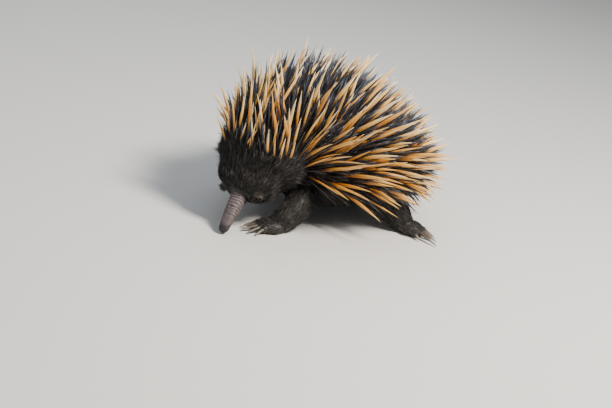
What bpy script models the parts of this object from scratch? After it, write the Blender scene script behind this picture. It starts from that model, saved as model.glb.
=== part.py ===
"""Short-beaked echidna, life size: standing, head turned to its left and beak lowered to the floor.

Metres, +Z up. The animal faces -Y and its left side is +X. The origin is on the floor, under the
middle of the bounding box. One body line runs from the beak's tip to the tail's tip, with a section
at each distance along it. Beak, head, neck, torso and tail are lengths of that one body. The legs,
eyes and ears are set against it, and the spines grow from it in staggered rows.
"""

import math
import random

import bmesh
import bpy
import numpy as np
from mathutils import Matrix, Vector
from mathutils.bvhtree import BVHTree

# The body line. Distances along it run backwards from the beak's tip.
GAP = 0.0003
NECK_S = 0.115
NECK_CENTRE = Vector((0.012, -0.101, 0.086))
LINE_STEP = 0.001
BODY_LENGTH = 0.354
SECTION_POWER = 2.2
# distance, nose-down pitch, turn to the left, half width, rise above the line, drop below it
SECTIONS = (
    (0.000, 50, 32, 0.0034, 0.0030, 0.0028),
    (0.003, 50, 32, 0.0055, 0.0048, 0.0045),
    (0.012, 50, 32, 0.0066, 0.0059, 0.0055),
    (0.026, 50, 32, 0.0081, 0.0072, 0.0067),
    (0.036, 50, 32, 0.0087, 0.0078, 0.0073),
    (0.046, 50, 32, 0.0094, 0.0086, 0.0080),
    (0.048, 50, 32, 0.0158, 0.0122, 0.0146),
    (0.051, 50, 32, 0.0230, 0.0155, 0.0208),
    (0.055, 50, 31, 0.0284, 0.0182, 0.0258),
    (0.062, 50, 31, 0.0332, 0.0216, 0.0302),
    (0.072, 49, 30, 0.0368, 0.0258, 0.0328),
    (0.088, 44, 28, 0.0422, 0.0314, 0.0348),
    (0.105, 35, 25, 0.0470, 0.0370, 0.0375),
    (0.130, 10, 18, 0.0560, 0.0470, 0.0490),
    (0.160, -4, 10, 0.0695, 0.0560, 0.0635),
    (0.195, -8, 3, 0.0790, 0.0610, 0.0695),
    (0.230, -11, 0, 0.0830, 0.0560, 0.0655),
    (0.262, -15, 0, 0.0800, 0.0460, 0.0570),
    (0.290, -20, 0, 0.0660, 0.0350, 0.0420),
    (0.310, -26, 0, 0.0490, 0.0260, 0.0310),
    (0.326, -32, 0, 0.0310, 0.0190, 0.0210),
    (0.342, -34, 0, 0.0170, 0.0130, 0.0130),
    (0.354, -34, 0, 0.0060, 0.0050, 0.0050),
)
BODY_SIDES = 24
BEAK_SIDES = 16
BEAK_SPAN = (0.0, 0.0460)
HEAD_SPAN = (0.0460, 0.1080)
NECK_SPAN = (0.1080, 0.1500)
TORSO_SPAN = (0.1500, 0.3040)
TAIL_SPAN = (0.3040, BODY_LENGTH)
SPINY_SPANS = (("neck", NECK_SPAN), ("torso", TORSO_SPAN), ("tail", TAIL_SPAN))

# The face. Angles run round the body from its left side over the top.
EYE_S = 0.0503
EYE_ANGLE = -3
EYE_RADIUS = 0.0042
EYE_SINK = 0.0020
LID_RING = 0.0033
LID_THICKNESS = 0.0011
LID_STRETCH = Vector((1.25, 0.95, 1))
# how far the lid's own middle sits under the eyeball's crest
LID_UNDER = 0.0006
LID_PROFILE = 6
LID_STEPS = 14
EAR_S = 0.088
EAR_ANGLE = -4
EAR_SIZE = Vector((0.0034, 0.0029, 0.0080))
EAR_HOLLOW = 0.70
# the hollow's middle: how far it is ahead of the ear's, and its share of the ear's height out from the skin
EAR_AHEAD = 0.0012
EAR_OUT = 0.75
NOSTRIL_S = 0.0045
NOSTRIL_ANGLE = 58
NOSTRIL_SIZE = Vector((0.0006, 0.0014, 0.0008))
# the slit of the mouth: wider than the beak, back from its tip, and under its middle
MOUTH_SIZE = Vector((0.020, 0.011, 0.0005))
MOUTH_BACK = 0.35
MOUTH_UNDER = 0.0022

# Legs, from inside the body to the ankle: place and radius. Feet: place, heading, half sizes, claws.
LIMB_SIDES = 12
FORE_LIMB = (
    ((0.030, -0.058, 0.050), 0.0190),
    ((0.046, -0.064, 0.034), 0.0185),
    ((0.057, -0.075, 0.024), 0.0165),
    ((0.060, -0.086, 0.014), 0.0145),
    ((0.060, -0.091, 0.007), 0.0125),
)
HIND_LIMB = (
    ((0.038, 0.044, 0.052), 0.0260),
    ((0.056, 0.046, 0.034), 0.0230),
    ((0.068, 0.052, 0.023), 0.0185),
    ((0.074, 0.058, 0.013), 0.0150),
    ((0.077, 0.062, 0.007), 0.0130),
)
FOOT_HALF = Vector((0.0165, 0.0190, 0.0095))
FOOT_CENTRE_Z = 0.0068
FORE_CLAWS = ((-34, 0.013), (-17, 0.018), (0, 0.020), (17, 0.018), (34, 0.013))
HIND_CLAWS = ((-36, 0.010), (-18, 0.029), (0, 0.021), (18, 0.016), (36, 0.012))
CLAW_RADIUS = 0.0030
CLAW_TIP_RADIUS = 0.0007
CLAW_ROOT_DEPTH = 0.006
CLAW_ROOT_Z = 0.0078
CLAW_TIP_Z = 0.0020
CLAW_SIDES = 6
CLAW_FLATTENING = 0.7
CLAW_SHARES = (0, 0.45, 0.8, 1)
# powers of the share along a claw by which it thins and by which it bends down
CLAW_TAPER = 1.5
CLAW_BEND = 1.6
# shares of the foot's half length: how far its middle is ahead of the ankle, and the claws' roots ahead of that
FOOT_AHEAD = 0.35
CLAWS_AHEAD = 0.92
# share of a claw's place round the foot by which it also turns
CLAW_FAN = 0.7
# name, side of the body, limb, shift of the foot along X and Y, heading from straight ahead, claws
LEGS = (
    ("foreleg_left", 1, FORE_LIMB, (-0.008, -0.008), -6, FORE_CLAWS),
    ("foreleg_right", -1, FORE_LIMB, (-0.004, 0.040), 4, FORE_CLAWS),
    ("hindleg_left", 1, HIND_LIMB, (0.000, 0.004), 112, HIND_CLAWS),
    ("hindleg_right", -1, HIND_LIMB, (0.000, -0.010), 105, HIND_CLAWS),
)

# Spines. The first number of each pair is a distance along the body.
SPINE_LENGTHS = ((0.112, 0.036), (0.125, 0.045), (0.150, 0.050), (0.200, 0.048), (0.290, 0.042), (0.354, 0.040))
LOWEST_ANGLES = ((0.110, -8), (0.125, -22), (0.160, -30), (0.200, -29), (0.250, -28), (0.300, -36), (0.354, -70))
SPINE_LEANS = ((0.110, 30), (0.130, 38), (0.160, 44), (0.220, 38), (0.270, 28), (0.300, 16), (0.354, 8))
FLANK_LEAN = 18
# height round the body from its side, swing of the spines there from straight back towards the top
SPINE_SWEEPS = ((-70, 0), (-25, 22), (0, 26), (30, 34), (60, 24), (90, 0))
# further swing and lean of the spines on the sides of the shoulders
SHOULDER_SWEEPS = ((0.110, 55), (0.130, 45), (0.160, 20), (0.195, 0))
SHOULDER_LEANS = ((0.110, 22), (0.120, 28), (0.150, 20), (0.185, 0))
# the coat lies in clumps: two waves over the body that lean and swing the spines together
CLUMP_LEAN = 4
CLUMP_SWEEP = 7
CLUMP_LENGTH = 0.009
CLUMP_ANGLE = 14
RUMP_START = 0.262
RUMP_FULL = 0.305
SPINE_ROWS = (0.1130, 0.3470, 24)
SPINE_SPACING = 0.0108
SPINE_RADIUS = 0.0022
SPINE_ROOT_RADIUS = 0.0013
SPINE_WIDEST = 0.42
SPINE_ROOT_DEPTH = 0.0065
SPINE_RISE = 0.16
SPINE_CLEARANCE = 0.0004
SPINE_TRIES = 10
TRY_SHORTENING = 0.04
FLOOR_CLEARANCE = 0.006
LEAN_JITTER = 6
SWEEP_JITTER = 7
LENGTH_RANGE = (0.86, 1.06)
SPOT_JITTER = 0.0015
ANGLE_JITTER = 1.5
EDGE_KEEP = 0.004
SAMPLE_STEPS = 22
SAMPLE_REACH = 0.0013
GIRTH_STEPS = 60
# steps along and round the body over which its slope is taken
SLOPE_STEP = 0.002
SLOPE_ANGLE = 2
SEED = 7


def eased(table, column, at):
    """One column of a table of rows, eased from row to row with no overshoot."""
    if at <= table[0][0]:
        return table[0][column]
    if at >= table[-1][0]:
        return table[-1][column]
    k = max(i for i in range(len(table) - 1) if table[i][0] <= at)

    def rise(i):
        return (table[i + 1][column] - table[i][column]) / (table[i + 1][0] - table[i][0])

    def slope(i):
        if i == 0 or i == len(table) - 1:
            return rise(k)
        behind, ahead = rise(i - 1), rise(i)
        return 0 if behind * ahead <= 0 else 2 * behind * ahead / (behind + ahead)

    span = table[k + 1][0] - table[k][0]
    t = (at - table[k][0]) / span
    return (
        table[k][column] * (2 * t**3 - 3 * t**2 + 1)
        + table[k + 1][column] * (3 * t**2 - 2 * t**3)
        + slope(k) * span * (t**3 - 2 * t**2 + t)
        + slope(k + 1) * span * (t**3 - t**2)
    )


def directions(at):
    """Forward, left and up along the body line."""
    pitch = math.radians(eased(SECTIONS, 1, at))
    turn = math.radians(eased(SECTIONS, 2, at))
    level = math.cos(pitch)
    forward = Vector((math.sin(turn) * level, -math.cos(turn) * level, -math.sin(pitch)))
    left = Vector((math.cos(turn), math.sin(turn), 0))
    return forward, left, forward.cross(left)


def body_line():
    """The body's centres at every LINE_STEP, walked both ways from the neck."""
    count = round(BODY_LENGTH / LINE_STEP)
    start = round(NECK_S / LINE_STEP)
    centres = [None] * (count + 1)
    centres[start] = NECK_CENTRE.copy()
    for k in range(start, count):
        centres[k + 1] = centres[k] - directions((k + 0.5) * LINE_STEP)[0] * LINE_STEP
    for k in range(start, 0, -1):
        centres[k - 1] = centres[k] + directions((k - 0.5) * LINE_STEP)[0] * LINE_STEP
    return centres


CENTRES = body_line()


def centre_at(at):
    place = min(max(at / LINE_STEP, 0), len(CENTRES) - 1.001)
    k = int(place)
    return CENTRES[k].lerp(CENTRES[k + 1], place - k)


def body_point(at, angle, lift=0.0):
    """A point on the body, lift outside it, at a distance along it and an angle round it."""
    _, left, up = directions(at)
    half, rise, drop = (eased(SECTIONS, column, at) for column in (3, 4, 5))
    turn = math.radians(angle)
    across = math.copysign(abs(math.cos(turn)) ** (2 / SECTION_POWER), math.cos(turn))
    over = math.copysign(abs(math.sin(turn)) ** (2 / SECTION_POWER), math.sin(turn))
    tall = rise if over > 0 else drop
    return centre_at(at) + left * across * (half + lift) + up * over * (tall + lift)


def body_frame(at, angle):
    """The body's outward normal and backward tangent there."""
    back = body_point(at + SLOPE_STEP, angle) - body_point(at - SLOPE_STEP, angle)
    round_it = body_point(at, angle + SLOPE_ANGLE) - body_point(at, angle - SLOPE_ANGLE)
    normal = back.cross(round_it).normalized()
    if normal.dot(body_point(at, angle) - centre_at(at)) < 0:
        normal.negate()
    back = (back - normal * back.dot(normal)).normalized()
    return normal, back


def finish_object(name, bm, material, collection):
    bmesh.ops.recalc_face_normals(bm, faces=bm.faces)
    mesh = bpy.data.meshes.new(name)
    bm.to_mesh(mesh)
    bm.free()
    mesh.materials.append(material)
    obj = bpy.data.objects.new(name, mesh)
    collection.objects.link(obj)
    return obj


def loft(rings):
    """A closed bmesh through rings of points, all of one count."""
    bm = bmesh.new()
    before = None
    for ring in rings:
        verts = bmesh.ops.create_circle(bm, segments=len(ring), radius=1)["verts"]
        edges = list(dict.fromkeys(edge for vert in verts for edge in vert.link_edges))
        for vert, place in zip(verts, ring):
            vert.co = place
        if before:
            bmesh.ops.bridge_loops(bm, edges=before + edges)
        before = edges
    open_edges = [edge for edge in bm.edges if edge.is_boundary]
    bmesh.ops.holes_fill(bm, edges=open_edges, sides=0)
    bmesh.ops.triangulate(bm, faces=bm.faces, quad_method="SHORT_EDGE")
    return bm


def body_rings(distances, sides, lift=0.0):
    turns = [360 * (k + 0.5) / sides for k in range(sides)]
    return [[body_point(at, angle, lift) for angle in turns] for at in distances]


def spread(first, last, count):
    return [first + (last - first) * k / (count - 1) for k in range(count)]


SPAN_RINGS = {
    HEAD_SPAN: spread(HEAD_SPAN[0] + GAP, 0.0552, 5) + [0.0590, 0.0640] + spread(0.071, HEAD_SPAN[1], 5),
    NECK_SPAN: spread(NECK_SPAN[0] + GAP, NECK_SPAN[1], 6),
    TORSO_SPAN: spread(TORSO_SPAN[0] + GAP, TORSO_SPAN[1], 16),
    TAIL_SPAN: spread(TAIL_SPAN[0] + GAP, TAIL_SPAN[1], 7),
}


def joined(obj, pieces, operation="UNION"):
    """obj with one Boolean of all the pieces applied, and the pieces removed."""
    group = bpy.data.collections.new("pieces")
    for piece in pieces:
        for home in list(piece.users_collection):
            home.objects.unlink(piece)
        group.objects.link(piece)
    bpy.context.scene.collection.children.link(group)
    modifier = obj.modifiers.new("join", "BOOLEAN")
    modifier.operation = operation
    modifier.operand_type = "COLLECTION"
    modifier.collection = group
    modifier.solver = "EXACT"
    bpy.context.view_layer.update()
    graph = bpy.context.evaluated_depsgraph_get()
    mesh = bpy.data.meshes.new_from_object(obj.evaluated_get(graph))
    obj.modifiers.clear()
    old, obj.data = obj.data, mesh
    bpy.data.meshes.remove(old)
    for piece in pieces:
        bpy.data.objects.remove(piece)
    bpy.data.collections.remove(group)
    keep_largest(obj)
    return obj


def keep_largest(obj):
    """Drops all but the closed surface with the most faces."""
    bm = bmesh.new()
    bm.from_mesh(obj.data)
    seen, largest = set(), set()
    for first in bm.faces:
        if first in seen:
            continue
        found, waiting = {first}, [first]
        while waiting:
            for edge in waiting.pop().edges:
                new = [face for face in edge.link_faces if face not in found]
                found.update(new)
                waiting.extend(new)
        seen |= found
        if len(found) > len(largest):
            largest = found
    bmesh.ops.delete(bm, geom=[face for face in bm.faces if face not in largest], context="FACES")
    bm.to_mesh(obj.data)
    bm.free()


def ball(name, radius, place, material, collection, turn=Matrix.Identity(3), stretch=(1, 1, 1), detail=(14, 9)):
    """An ellipsoid: a sphere stretched along its own axes, then turned and placed."""
    bm = bmesh.new()
    sides, rings = detail
    bmesh.ops.create_uvsphere(bm, u_segments=sides, v_segments=rings, radius=radius)
    bmesh.ops.scale(bm, vec=stretch, verts=bm.verts)
    bmesh.ops.rotate(bm, matrix=turn, verts=bm.verts)
    bmesh.ops.translate(bm, vec=place, verts=bm.verts)
    return finish_object(name, bm, material, collection)


def surface_turn(at, angle):
    """Axes on the body there, as a matrix: backwards, outwards, and across towards the top."""
    normal, back = body_frame(at, angle)
    return Matrix((back, normal, back.cross(normal))).transposed()


def eye_centre(angle):
    normal, _ = body_frame(EYE_S, angle)
    return body_point(EYE_S, angle) - normal * EYE_SINK


def lid(name, angle, material, collection):
    """A ring of skin round the eye, longer along the head than it is tall."""
    normal, back = body_frame(EYE_S, angle)
    bm = bmesh.new()
    profile = bmesh.ops.create_circle(bm, segments=LID_PROFILE, radius=LID_THICKNESS)["verts"]
    bmesh.ops.rotate(bm, matrix=Matrix.Rotation(math.pi / 2, 3, "X"), verts=profile)
    bmesh.ops.translate(bm, vec=(LID_RING, 0, 0), verts=profile)
    bmesh.ops.spin(bm, geom=bm.verts[:] + bm.edges[:], axis=(0, 0, 1), cent=(0, 0, 0), steps=LID_STEPS,
                   angle=2 * math.pi, use_merge=True)
    bmesh.ops.scale(bm, vec=LID_STRETCH, verts=bm.verts)
    turn = Matrix((back, normal.cross(back), normal)).transposed()
    bmesh.ops.rotate(bm, matrix=turn, verts=bm.verts)
    out = normal * (EYE_RADIUS - EYE_SINK - LID_UNDER)
    bmesh.ops.translate(bm, vec=body_point(EYE_S, angle) + out, verts=bm.verts)
    return finish_object(name, bm, material, collection)


def make_beak(material, parts, cutters):
    """The bare beak, with a slit mouth under its tip and two nostrils on top."""
    front, back = BEAK_SPAN
    distances = [front, 0.0012, 0.003, 0.007] + spread(0.012, back, 6)
    beak = finish_object("beak", loft(body_rings(distances, BEAK_SIDES)), material, parts)
    forward, left, up = directions(0)
    turn = Matrix((left, -forward, up)).transposed()
    cuts = []
    for angle in (NOSTRIL_ANGLE, 180 - NOSTRIL_ANGLE):
        cuts.append(ball("nostril", 1, body_point(NOSTRIL_S, angle), material, cutters, turn, NOSTRIL_SIZE, (8, 6)))
    slit = bmesh.new()
    bmesh.ops.create_cube(slit, size=1)
    bmesh.ops.scale(slit, vec=MOUTH_SIZE, verts=slit.verts)
    bmesh.ops.rotate(slit, matrix=turn, verts=slit.verts)
    place = centre_at(0) - forward * (MOUTH_SIZE.y * MOUTH_BACK) - up * MOUTH_UNDER
    bmesh.ops.translate(slit, vec=place, verts=slit.verts)
    cuts.append(finish_object("mouth", slit, material, cutters))
    return joined(beak, cuts, "DIFFERENCE")


def make_head(material, parts, cutters):
    """The head, with lids fused round the eyes and a socket cut for each."""
    head = finish_object("head", loft(body_rings(SPAN_RINGS[HEAD_SPAN], BODY_SIDES)), material, parts)
    lids = [lid("lid", angle, material, cutters) for angle in (EYE_ANGLE, 180 - EYE_ANGLE)]
    joined(head, lids)
    sockets = [
        ball("socket", EYE_RADIUS + GAP, eye_centre(angle), material, cutters, surface_turn(EYE_S, angle))
        for angle in (EYE_ANGLE, 180 - EYE_ANGLE)
    ]
    return joined(head, sockets, "DIFFERENCE")


def make_eyes(material, parts):
    return [
        ball(name, EYE_RADIUS, eye_centre(angle), material, parts, surface_turn(EYE_S, angle))
        for name, angle in (("eye_left", EYE_ANGLE), ("eye_right", 180 - EYE_ANGLE))
    ]


def body_cutter(spans, material, collection):
    """The body grown by GAP over some of its spans, for cutting what sits against it."""
    distances = [at for span in spans for at in SPAN_RINGS[span]]
    distances[0] -= GAP
    distances[-1] += GAP
    return finish_object("wall", loft(body_rings(distances, BODY_SIDES, GAP)), material, collection)


def make_ears(material, parts, cutters):
    """Each ear is a small upright cup of skin, open outwards and forwards."""
    ears = []
    for name, angle in (("ear_left", EAR_ANGLE), ("ear_right", 180 - EAR_ANGLE)):
        place, turn = body_point(EAR_S, angle), surface_turn(EAR_S, angle)
        ear = ball(name, 1, place, material, parts, turn, EAR_SIZE, (12, 8))
        mouth = place + turn @ Vector((-EAR_AHEAD, EAR_SIZE.y * EAR_OUT, 0))
        hollow = ball("hollow", 1, mouth, material, cutters, turn, EAR_SIZE * EAR_HOLLOW, (12, 8))
        skull = body_cutter((HEAD_SPAN,), material, cutters)
        joined(ear, [hollow], "DIFFERENCE")
        ears.append(joined(ear, [skull], "DIFFERENCE"))
    return ears


def limb_rings(stations):
    """Rings round a bent limb, each square to the way the limb runs there."""
    rings = []
    for k, (place, radius) in enumerate(stations):
        ahead = Vector(stations[min(k + 1, len(stations) - 1)][0])
        behind = Vector(stations[max(k - 1, 0)][0])
        turn = (ahead - behind).to_track_quat("Z", "Y")
        ring = []
        for n in range(LIMB_SIDES):
            a = 2 * math.pi * n / LIMB_SIDES
            ring.append(Vector(place) + turn @ Vector((math.cos(a), math.sin(a), 0)) * radius)
        rings.append(ring)
    return rings


def claw(name, root, heading, length, material, collection):
    """A tapered, flattened claw that curves down to just above the floor."""
    ahead = Vector((math.sin(heading), -math.cos(heading), 0))
    across = Vector((ahead.y, -ahead.x, 0))
    rings = []
    for share in CLAW_SHARES:
        along = -CLAW_ROOT_DEPTH + (length + CLAW_ROOT_DEPTH) * share
        radius = CLAW_RADIUS + (CLAW_TIP_RADIUS - CLAW_RADIUS) * share**CLAW_TAPER
        height = CLAW_ROOT_Z + (CLAW_TIP_Z - CLAW_ROOT_Z) * share**CLAW_BEND
        centre = root + ahead * along + Vector((0, 0, height))
        ring = []
        for n in range(CLAW_SIDES):
            a = 2 * math.pi * n / CLAW_SIDES
            rise = Vector((0, 0, CLAW_FLATTENING * math.sin(a) * radius))
            ring.append(centre + across * math.cos(a) * radius + rise)
        rings.append(ring)
    return finish_object(name, loft(rings), material, collection)


def make_leg(name, side, limb, foot_shift, heading, claws, material, parts, cutters):
    """One leg with its foot and claws, its sole flat on the floor, cut clear of the body."""
    shift = Vector((foot_shift[0] * side, foot_shift[1], 0))
    stations = []
    for k, (place, radius) in enumerate(limb):
        moved = Vector((place[0] * side, place[1], place[2])) + shift * (k / (len(limb) - 1))
        stations.append((moved, radius))
    leg = finish_object(name, loft(limb_rings(stations)), material, parts)
    facing = math.radians(heading) * side
    ahead = Vector((math.sin(facing), -math.cos(facing), 0))
    ankle = stations[-1][0]
    sole = Vector((ankle.x, ankle.y, 0)) + ahead * FOOT_HALF.y * FOOT_AHEAD
    turn = Matrix.Rotation(facing, 3, "Z")
    pieces = [ball("foot", 1, sole + Vector((0, 0, FOOT_CENTRE_Z)), material, cutters, turn, FOOT_HALF)]
    for fan, length in claws:
        fan = math.radians(fan) * side
        root = sole + Vector((math.sin(facing + fan), -math.cos(facing + fan), 0)) * FOOT_HALF.y * CLAWS_AHEAD
        pieces.append(claw("claw", root, facing + fan * CLAW_FAN, length, material, cutters))
    joined(leg, pieces)
    bm = bmesh.new()
    bm.from_mesh(leg.data)
    bmesh.ops.bisect_plane(bm, geom=bm.verts[:] + bm.edges[:] + bm.faces[:], plane_co=(0, 0, 0),
                           plane_no=(0, 0, -1), clear_outer=True)
    bmesh.ops.holes_fill(bm, edges=[edge for edge in bm.edges if edge.is_boundary], sides=0)
    bm.to_mesh(leg.data)
    bm.free()
    wall = body_cutter((HEAD_SPAN, NECK_SPAN, TORSO_SPAN, TAIL_SPAN), material, cutters)
    return joined(leg, [wall], "DIFFERENCE")


def paint(name, colour, roughness):
    material = bpy.data.materials.new(name)
    material.use_nodes = True
    shader = material.node_tree.nodes["Principled BSDF"]
    shader.inputs["Base Color"].default_value = (*colour, 1)
    shader.inputs["Roughness"].default_value = roughness
    shader.inputs["Metallic"].default_value = 0
    return material


def settle(parts):
    """Moves every node so that the origin is under the middle of the whole, on the floor."""
    corners = [obj.matrix_world @ vert.co for obj in parts.objects for vert in obj.data.vertices]
    low = Vector(min(c[k] for c in corners) for k in range(3))
    high = Vector(max(c[k] for c in corners) for k in range(3))
    shift = Matrix.Translation((-(low.x + high.x) / 2, -(low.y + high.y) / 2, -low.z))
    for obj in parts.objects:
        obj.data.transform(shift)
    print("settled by", shift.translation, "size", high - low)


def row_angles(at, offset):
    """Angles spaced evenly by arc over the part of the girth that carries spines."""
    lowest = eased(LOWEST_ANGLES, 1, at)
    angles = spread(lowest, 180 - lowest, GIRTH_STEPS + 1)
    points = [body_point(at, angle) for angle in angles]
    reach = [0.0]
    for before, after in zip(points, points[1:]):
        reach.append(reach[-1] + (after - before).length)
    count = max(2, round(reach[-1] / SPINE_SPACING))
    found = []
    for k in range(count):
        target = (k + offset) * reach[-1] / count
        n = max(i for i in range(GIRTH_STEPS) if reach[i] <= target)
        share = (target - reach[n]) / (reach[n + 1] - reach[n])
        found.append(angles[n] + (angles[n + 1] - angles[n]) * share)
    return found


def clump(at, angle, phase):
    """Two crossing waves over the body, from -2 to 2, that neighbouring spines share."""
    along, round_it = at / CLUMP_LENGTH, angle / CLUMP_ANGLE
    return math.sin(along + round_it + 2 * phase) + math.sin(1.7 * along - 1.3 * round_it + 5 * phase)


def spine_points(at, angle, draw, shorter):
    """Root, widest and tip points of one spine, with its jittered lean, sweep and length."""
    normal, back = body_frame(at, angle)
    side = 1 if angle < 90 else -1
    height = angle if angle < 90 else 180 - angle
    dorsal = body_point(at, angle + SLOPE_ANGLE * side) - body_point(at, angle - SLOPE_ANGLE * side)
    dorsal = (dorsal - normal * dorsal.dot(normal)).normalized()
    flank = 1 - abs(math.sin(math.radians(angle)))
    before_rump = min(max((RUMP_FULL - at) / (RUMP_FULL - RUMP_START), 0), 1)
    beside = max(math.cos(math.radians(height)), 0)
    lean = eased(SPINE_LEANS, 1, at) + FLANK_LEAN * flank * before_rump + eased(SHOULDER_LEANS, 1, at) * beside
    lean = math.radians(lean + CLUMP_LEAN * clump(at, angle, 1) + draw.gauss(0, LEAN_JITTER))
    sweep = eased(SPINE_SWEEPS, 1, height) * before_rump + eased(SHOULDER_SWEEPS, 1, at) * beside
    sweep = math.radians(sweep + CLUMP_SWEEP * clump(at, angle, 2) + draw.gauss(0, SWEEP_JITTER))
    along = back * math.cos(sweep) + dorsal * math.sin(sweep)
    aim = normal * math.cos(lean) + along * math.sin(lean)
    length = eased(SPINE_LENGTHS, 1, at) * draw.uniform(*LENGTH_RANGE) * shorter
    place = body_point(at, angle)
    root = place - (normal * 0.6 + aim * 0.4) * SPINE_ROOT_DEPTH
    widest = place + aim * length * SPINE_WIDEST
    tip = place + aim * length + normal * length * SPINE_RISE * math.sin(lean)
    return root, widest, tip


def spine_samples(points):
    """Points along a spine and the spine's radius at each."""
    root, widest, tip = points
    places, radii = [], []
    for k in range(SAMPLE_STEPS):
        share = k / (SAMPLE_STEPS - 1)
        if share < SPINE_WIDEST:
            part_way = share / SPINE_WIDEST
            places.append(root.lerp(widest, part_way))
            radii.append(SPINE_ROOT_RADIUS + (SPINE_RADIUS - SPINE_ROOT_RADIUS) * part_way)
        else:
            part_way = (share - SPINE_WIDEST) / (1 - SPINE_WIDEST)
            places.append(widest.lerp(tip, part_way))
            radii.append(SPINE_RADIUS * (1 - part_way))
    return np.array(places), np.array(radii)


def owner_of(at):
    """The node whose surface there is far enough from its cut ends to root a spine."""
    for name, (front, back) in SPINY_SPANS:
        if front + EDGE_KEEP < at < back - EDGE_KEEP:
            return name
    return None


def tree_of(obj):
    bm = bmesh.new()
    bm.from_mesh(obj.data)
    tree = BVHTree.FromBMesh(bm)
    bm.free()
    return tree


def clear_of(tree, places, radii):
    """Whether every sample of a spine keeps clear of a node's surface."""
    return all(
        tree.find_nearest(Vector(place))[3] > max(radius + SPINE_CLEARANCE, SAMPLE_REACH)
        for place, radius in zip(places, radii)
    )


def spine_mesh(name, points, material, collection):
    """A square cone frustum from the root to the widest point, with its top drawn out to the tip."""
    root, widest, tip = points
    bm = bmesh.new()
    axis = widest - root
    bmesh.ops.create_cone(bm, cap_ends=True, segments=4, radius1=SPINE_ROOT_RADIUS, radius2=SPINE_RADIUS,
                          depth=axis.length)
    turn = axis.to_track_quat("Z", "Y").to_matrix()
    bmesh.ops.rotate(bm, matrix=turn, verts=bm.verts)
    bmesh.ops.translate(bm, vec=(root + widest) / 2, verts=bm.verts)
    top = max(bm.faces, key=lambda face: face.calc_center_median().dot(axis))
    point = bmesh.ops.poke(bm, faces=[top])["verts"][0]
    point.co = tip
    return finish_object(name, bm, material, collection)


def grow_spines(cores, others, material, cutters):
    """Sets spines in staggered rows over the cores, each clear of the rest, and fuses them."""
    draw = random.Random(SEED)
    trees = {name: tree_of(obj) for name, obj in cores.items()}
    walls = [tree_of(obj) for obj in others]
    grown = {name: [] for name in cores}
    placed = np.zeros((0, 3))
    placed_radii = np.zeros(0)
    first, last, rows = SPINE_ROWS
    for row, at in enumerate(spread(first, last, rows)):
        for angle in row_angles(at, 0.25 if row % 2 else 0.75):
            for attempt in range(SPINE_TRIES):
                spot = at + draw.uniform(-SPOT_JITTER, SPOT_JITTER)
                owner = owner_of(spot)
                if owner is None:
                    continue
                shorter = 1 - TRY_SHORTENING * attempt
                points = spine_points(spot, angle + draw.uniform(-ANGLE_JITTER, ANGLE_JITTER), draw, shorter)
                places, radii = spine_samples(points)
                if min(places[:, 2] - radii) < FLOOR_CLEARANCE:
                    continue
                apart = np.linalg.norm(placed[:, None] - places[None], axis=2)
                if len(placed) and (apart - placed_radii[:, None] - radii[None]).min() < SPINE_CLEARANCE:
                    continue
                rest = [tree for name, tree in trees.items() if name != owner] + walls
                if not all(clear_of(tree, places, radii) for tree in rest):
                    continue
                placed = np.concatenate((placed, places))
                placed_radii = np.concatenate((placed_radii, radii))
                grown[owner].append(spine_mesh("spine", points, material, cutters))
                break
    for name, spines in grown.items():
        print(name, "carries", len(spines), "spines")
        joined(cores[name], spines)


def main():
    for obj in list(bpy.data.objects):
        bpy.data.objects.remove(obj)
    parts = bpy.data.collections.new("echidna")
    cutters = bpy.data.collections.new("cutters")
    bpy.context.scene.collection.children.link(parts)
    bpy.context.scene.collection.children.link(cutters)
    coat = paint("spiny coat", (0.46, 0.32, 0.16), 0.55)
    fur = paint("dark fur", (0.025, 0.020, 0.017), 0.8)
    skin = paint("beak skin", (0.22, 0.19, 0.19), 0.6)
    eye = paint("eye", (0.01, 0.008, 0.006), 0.1)
    others = [make_beak(skin, parts, cutters), make_head(fur, parts, cutters)]
    others += make_eyes(eye, parts) + make_ears(skin, parts, cutters)
    others += [make_leg(*row, fur, parts, cutters) for row in LEGS]
    cores = {}
    for name, span in SPINY_SPANS:
        rings = body_rings(SPAN_RINGS[span], BODY_SIDES)
        cores[name] = finish_object(name, loft(rings), coat, parts)
    grow_spines(cores, others, coat, cutters)
    bpy.data.collections.remove(cutters)
    settle(parts)


main()
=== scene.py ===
# %% [markdown]
# # A short-beaked echidna
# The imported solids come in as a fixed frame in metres: the animal stands on the floor, faces -Y and
# has its left side at +X. They already have the pose and the outline. This lesson gives them what
# they lack up close: one soft skin, wrinkled beak, wet eyes, horn, and a coat of hair and spines.

# %% Load the frame
import math
import random

import bmesh
import bpy
import numpy as np
from mathutils import Matrix, Vector


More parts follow.
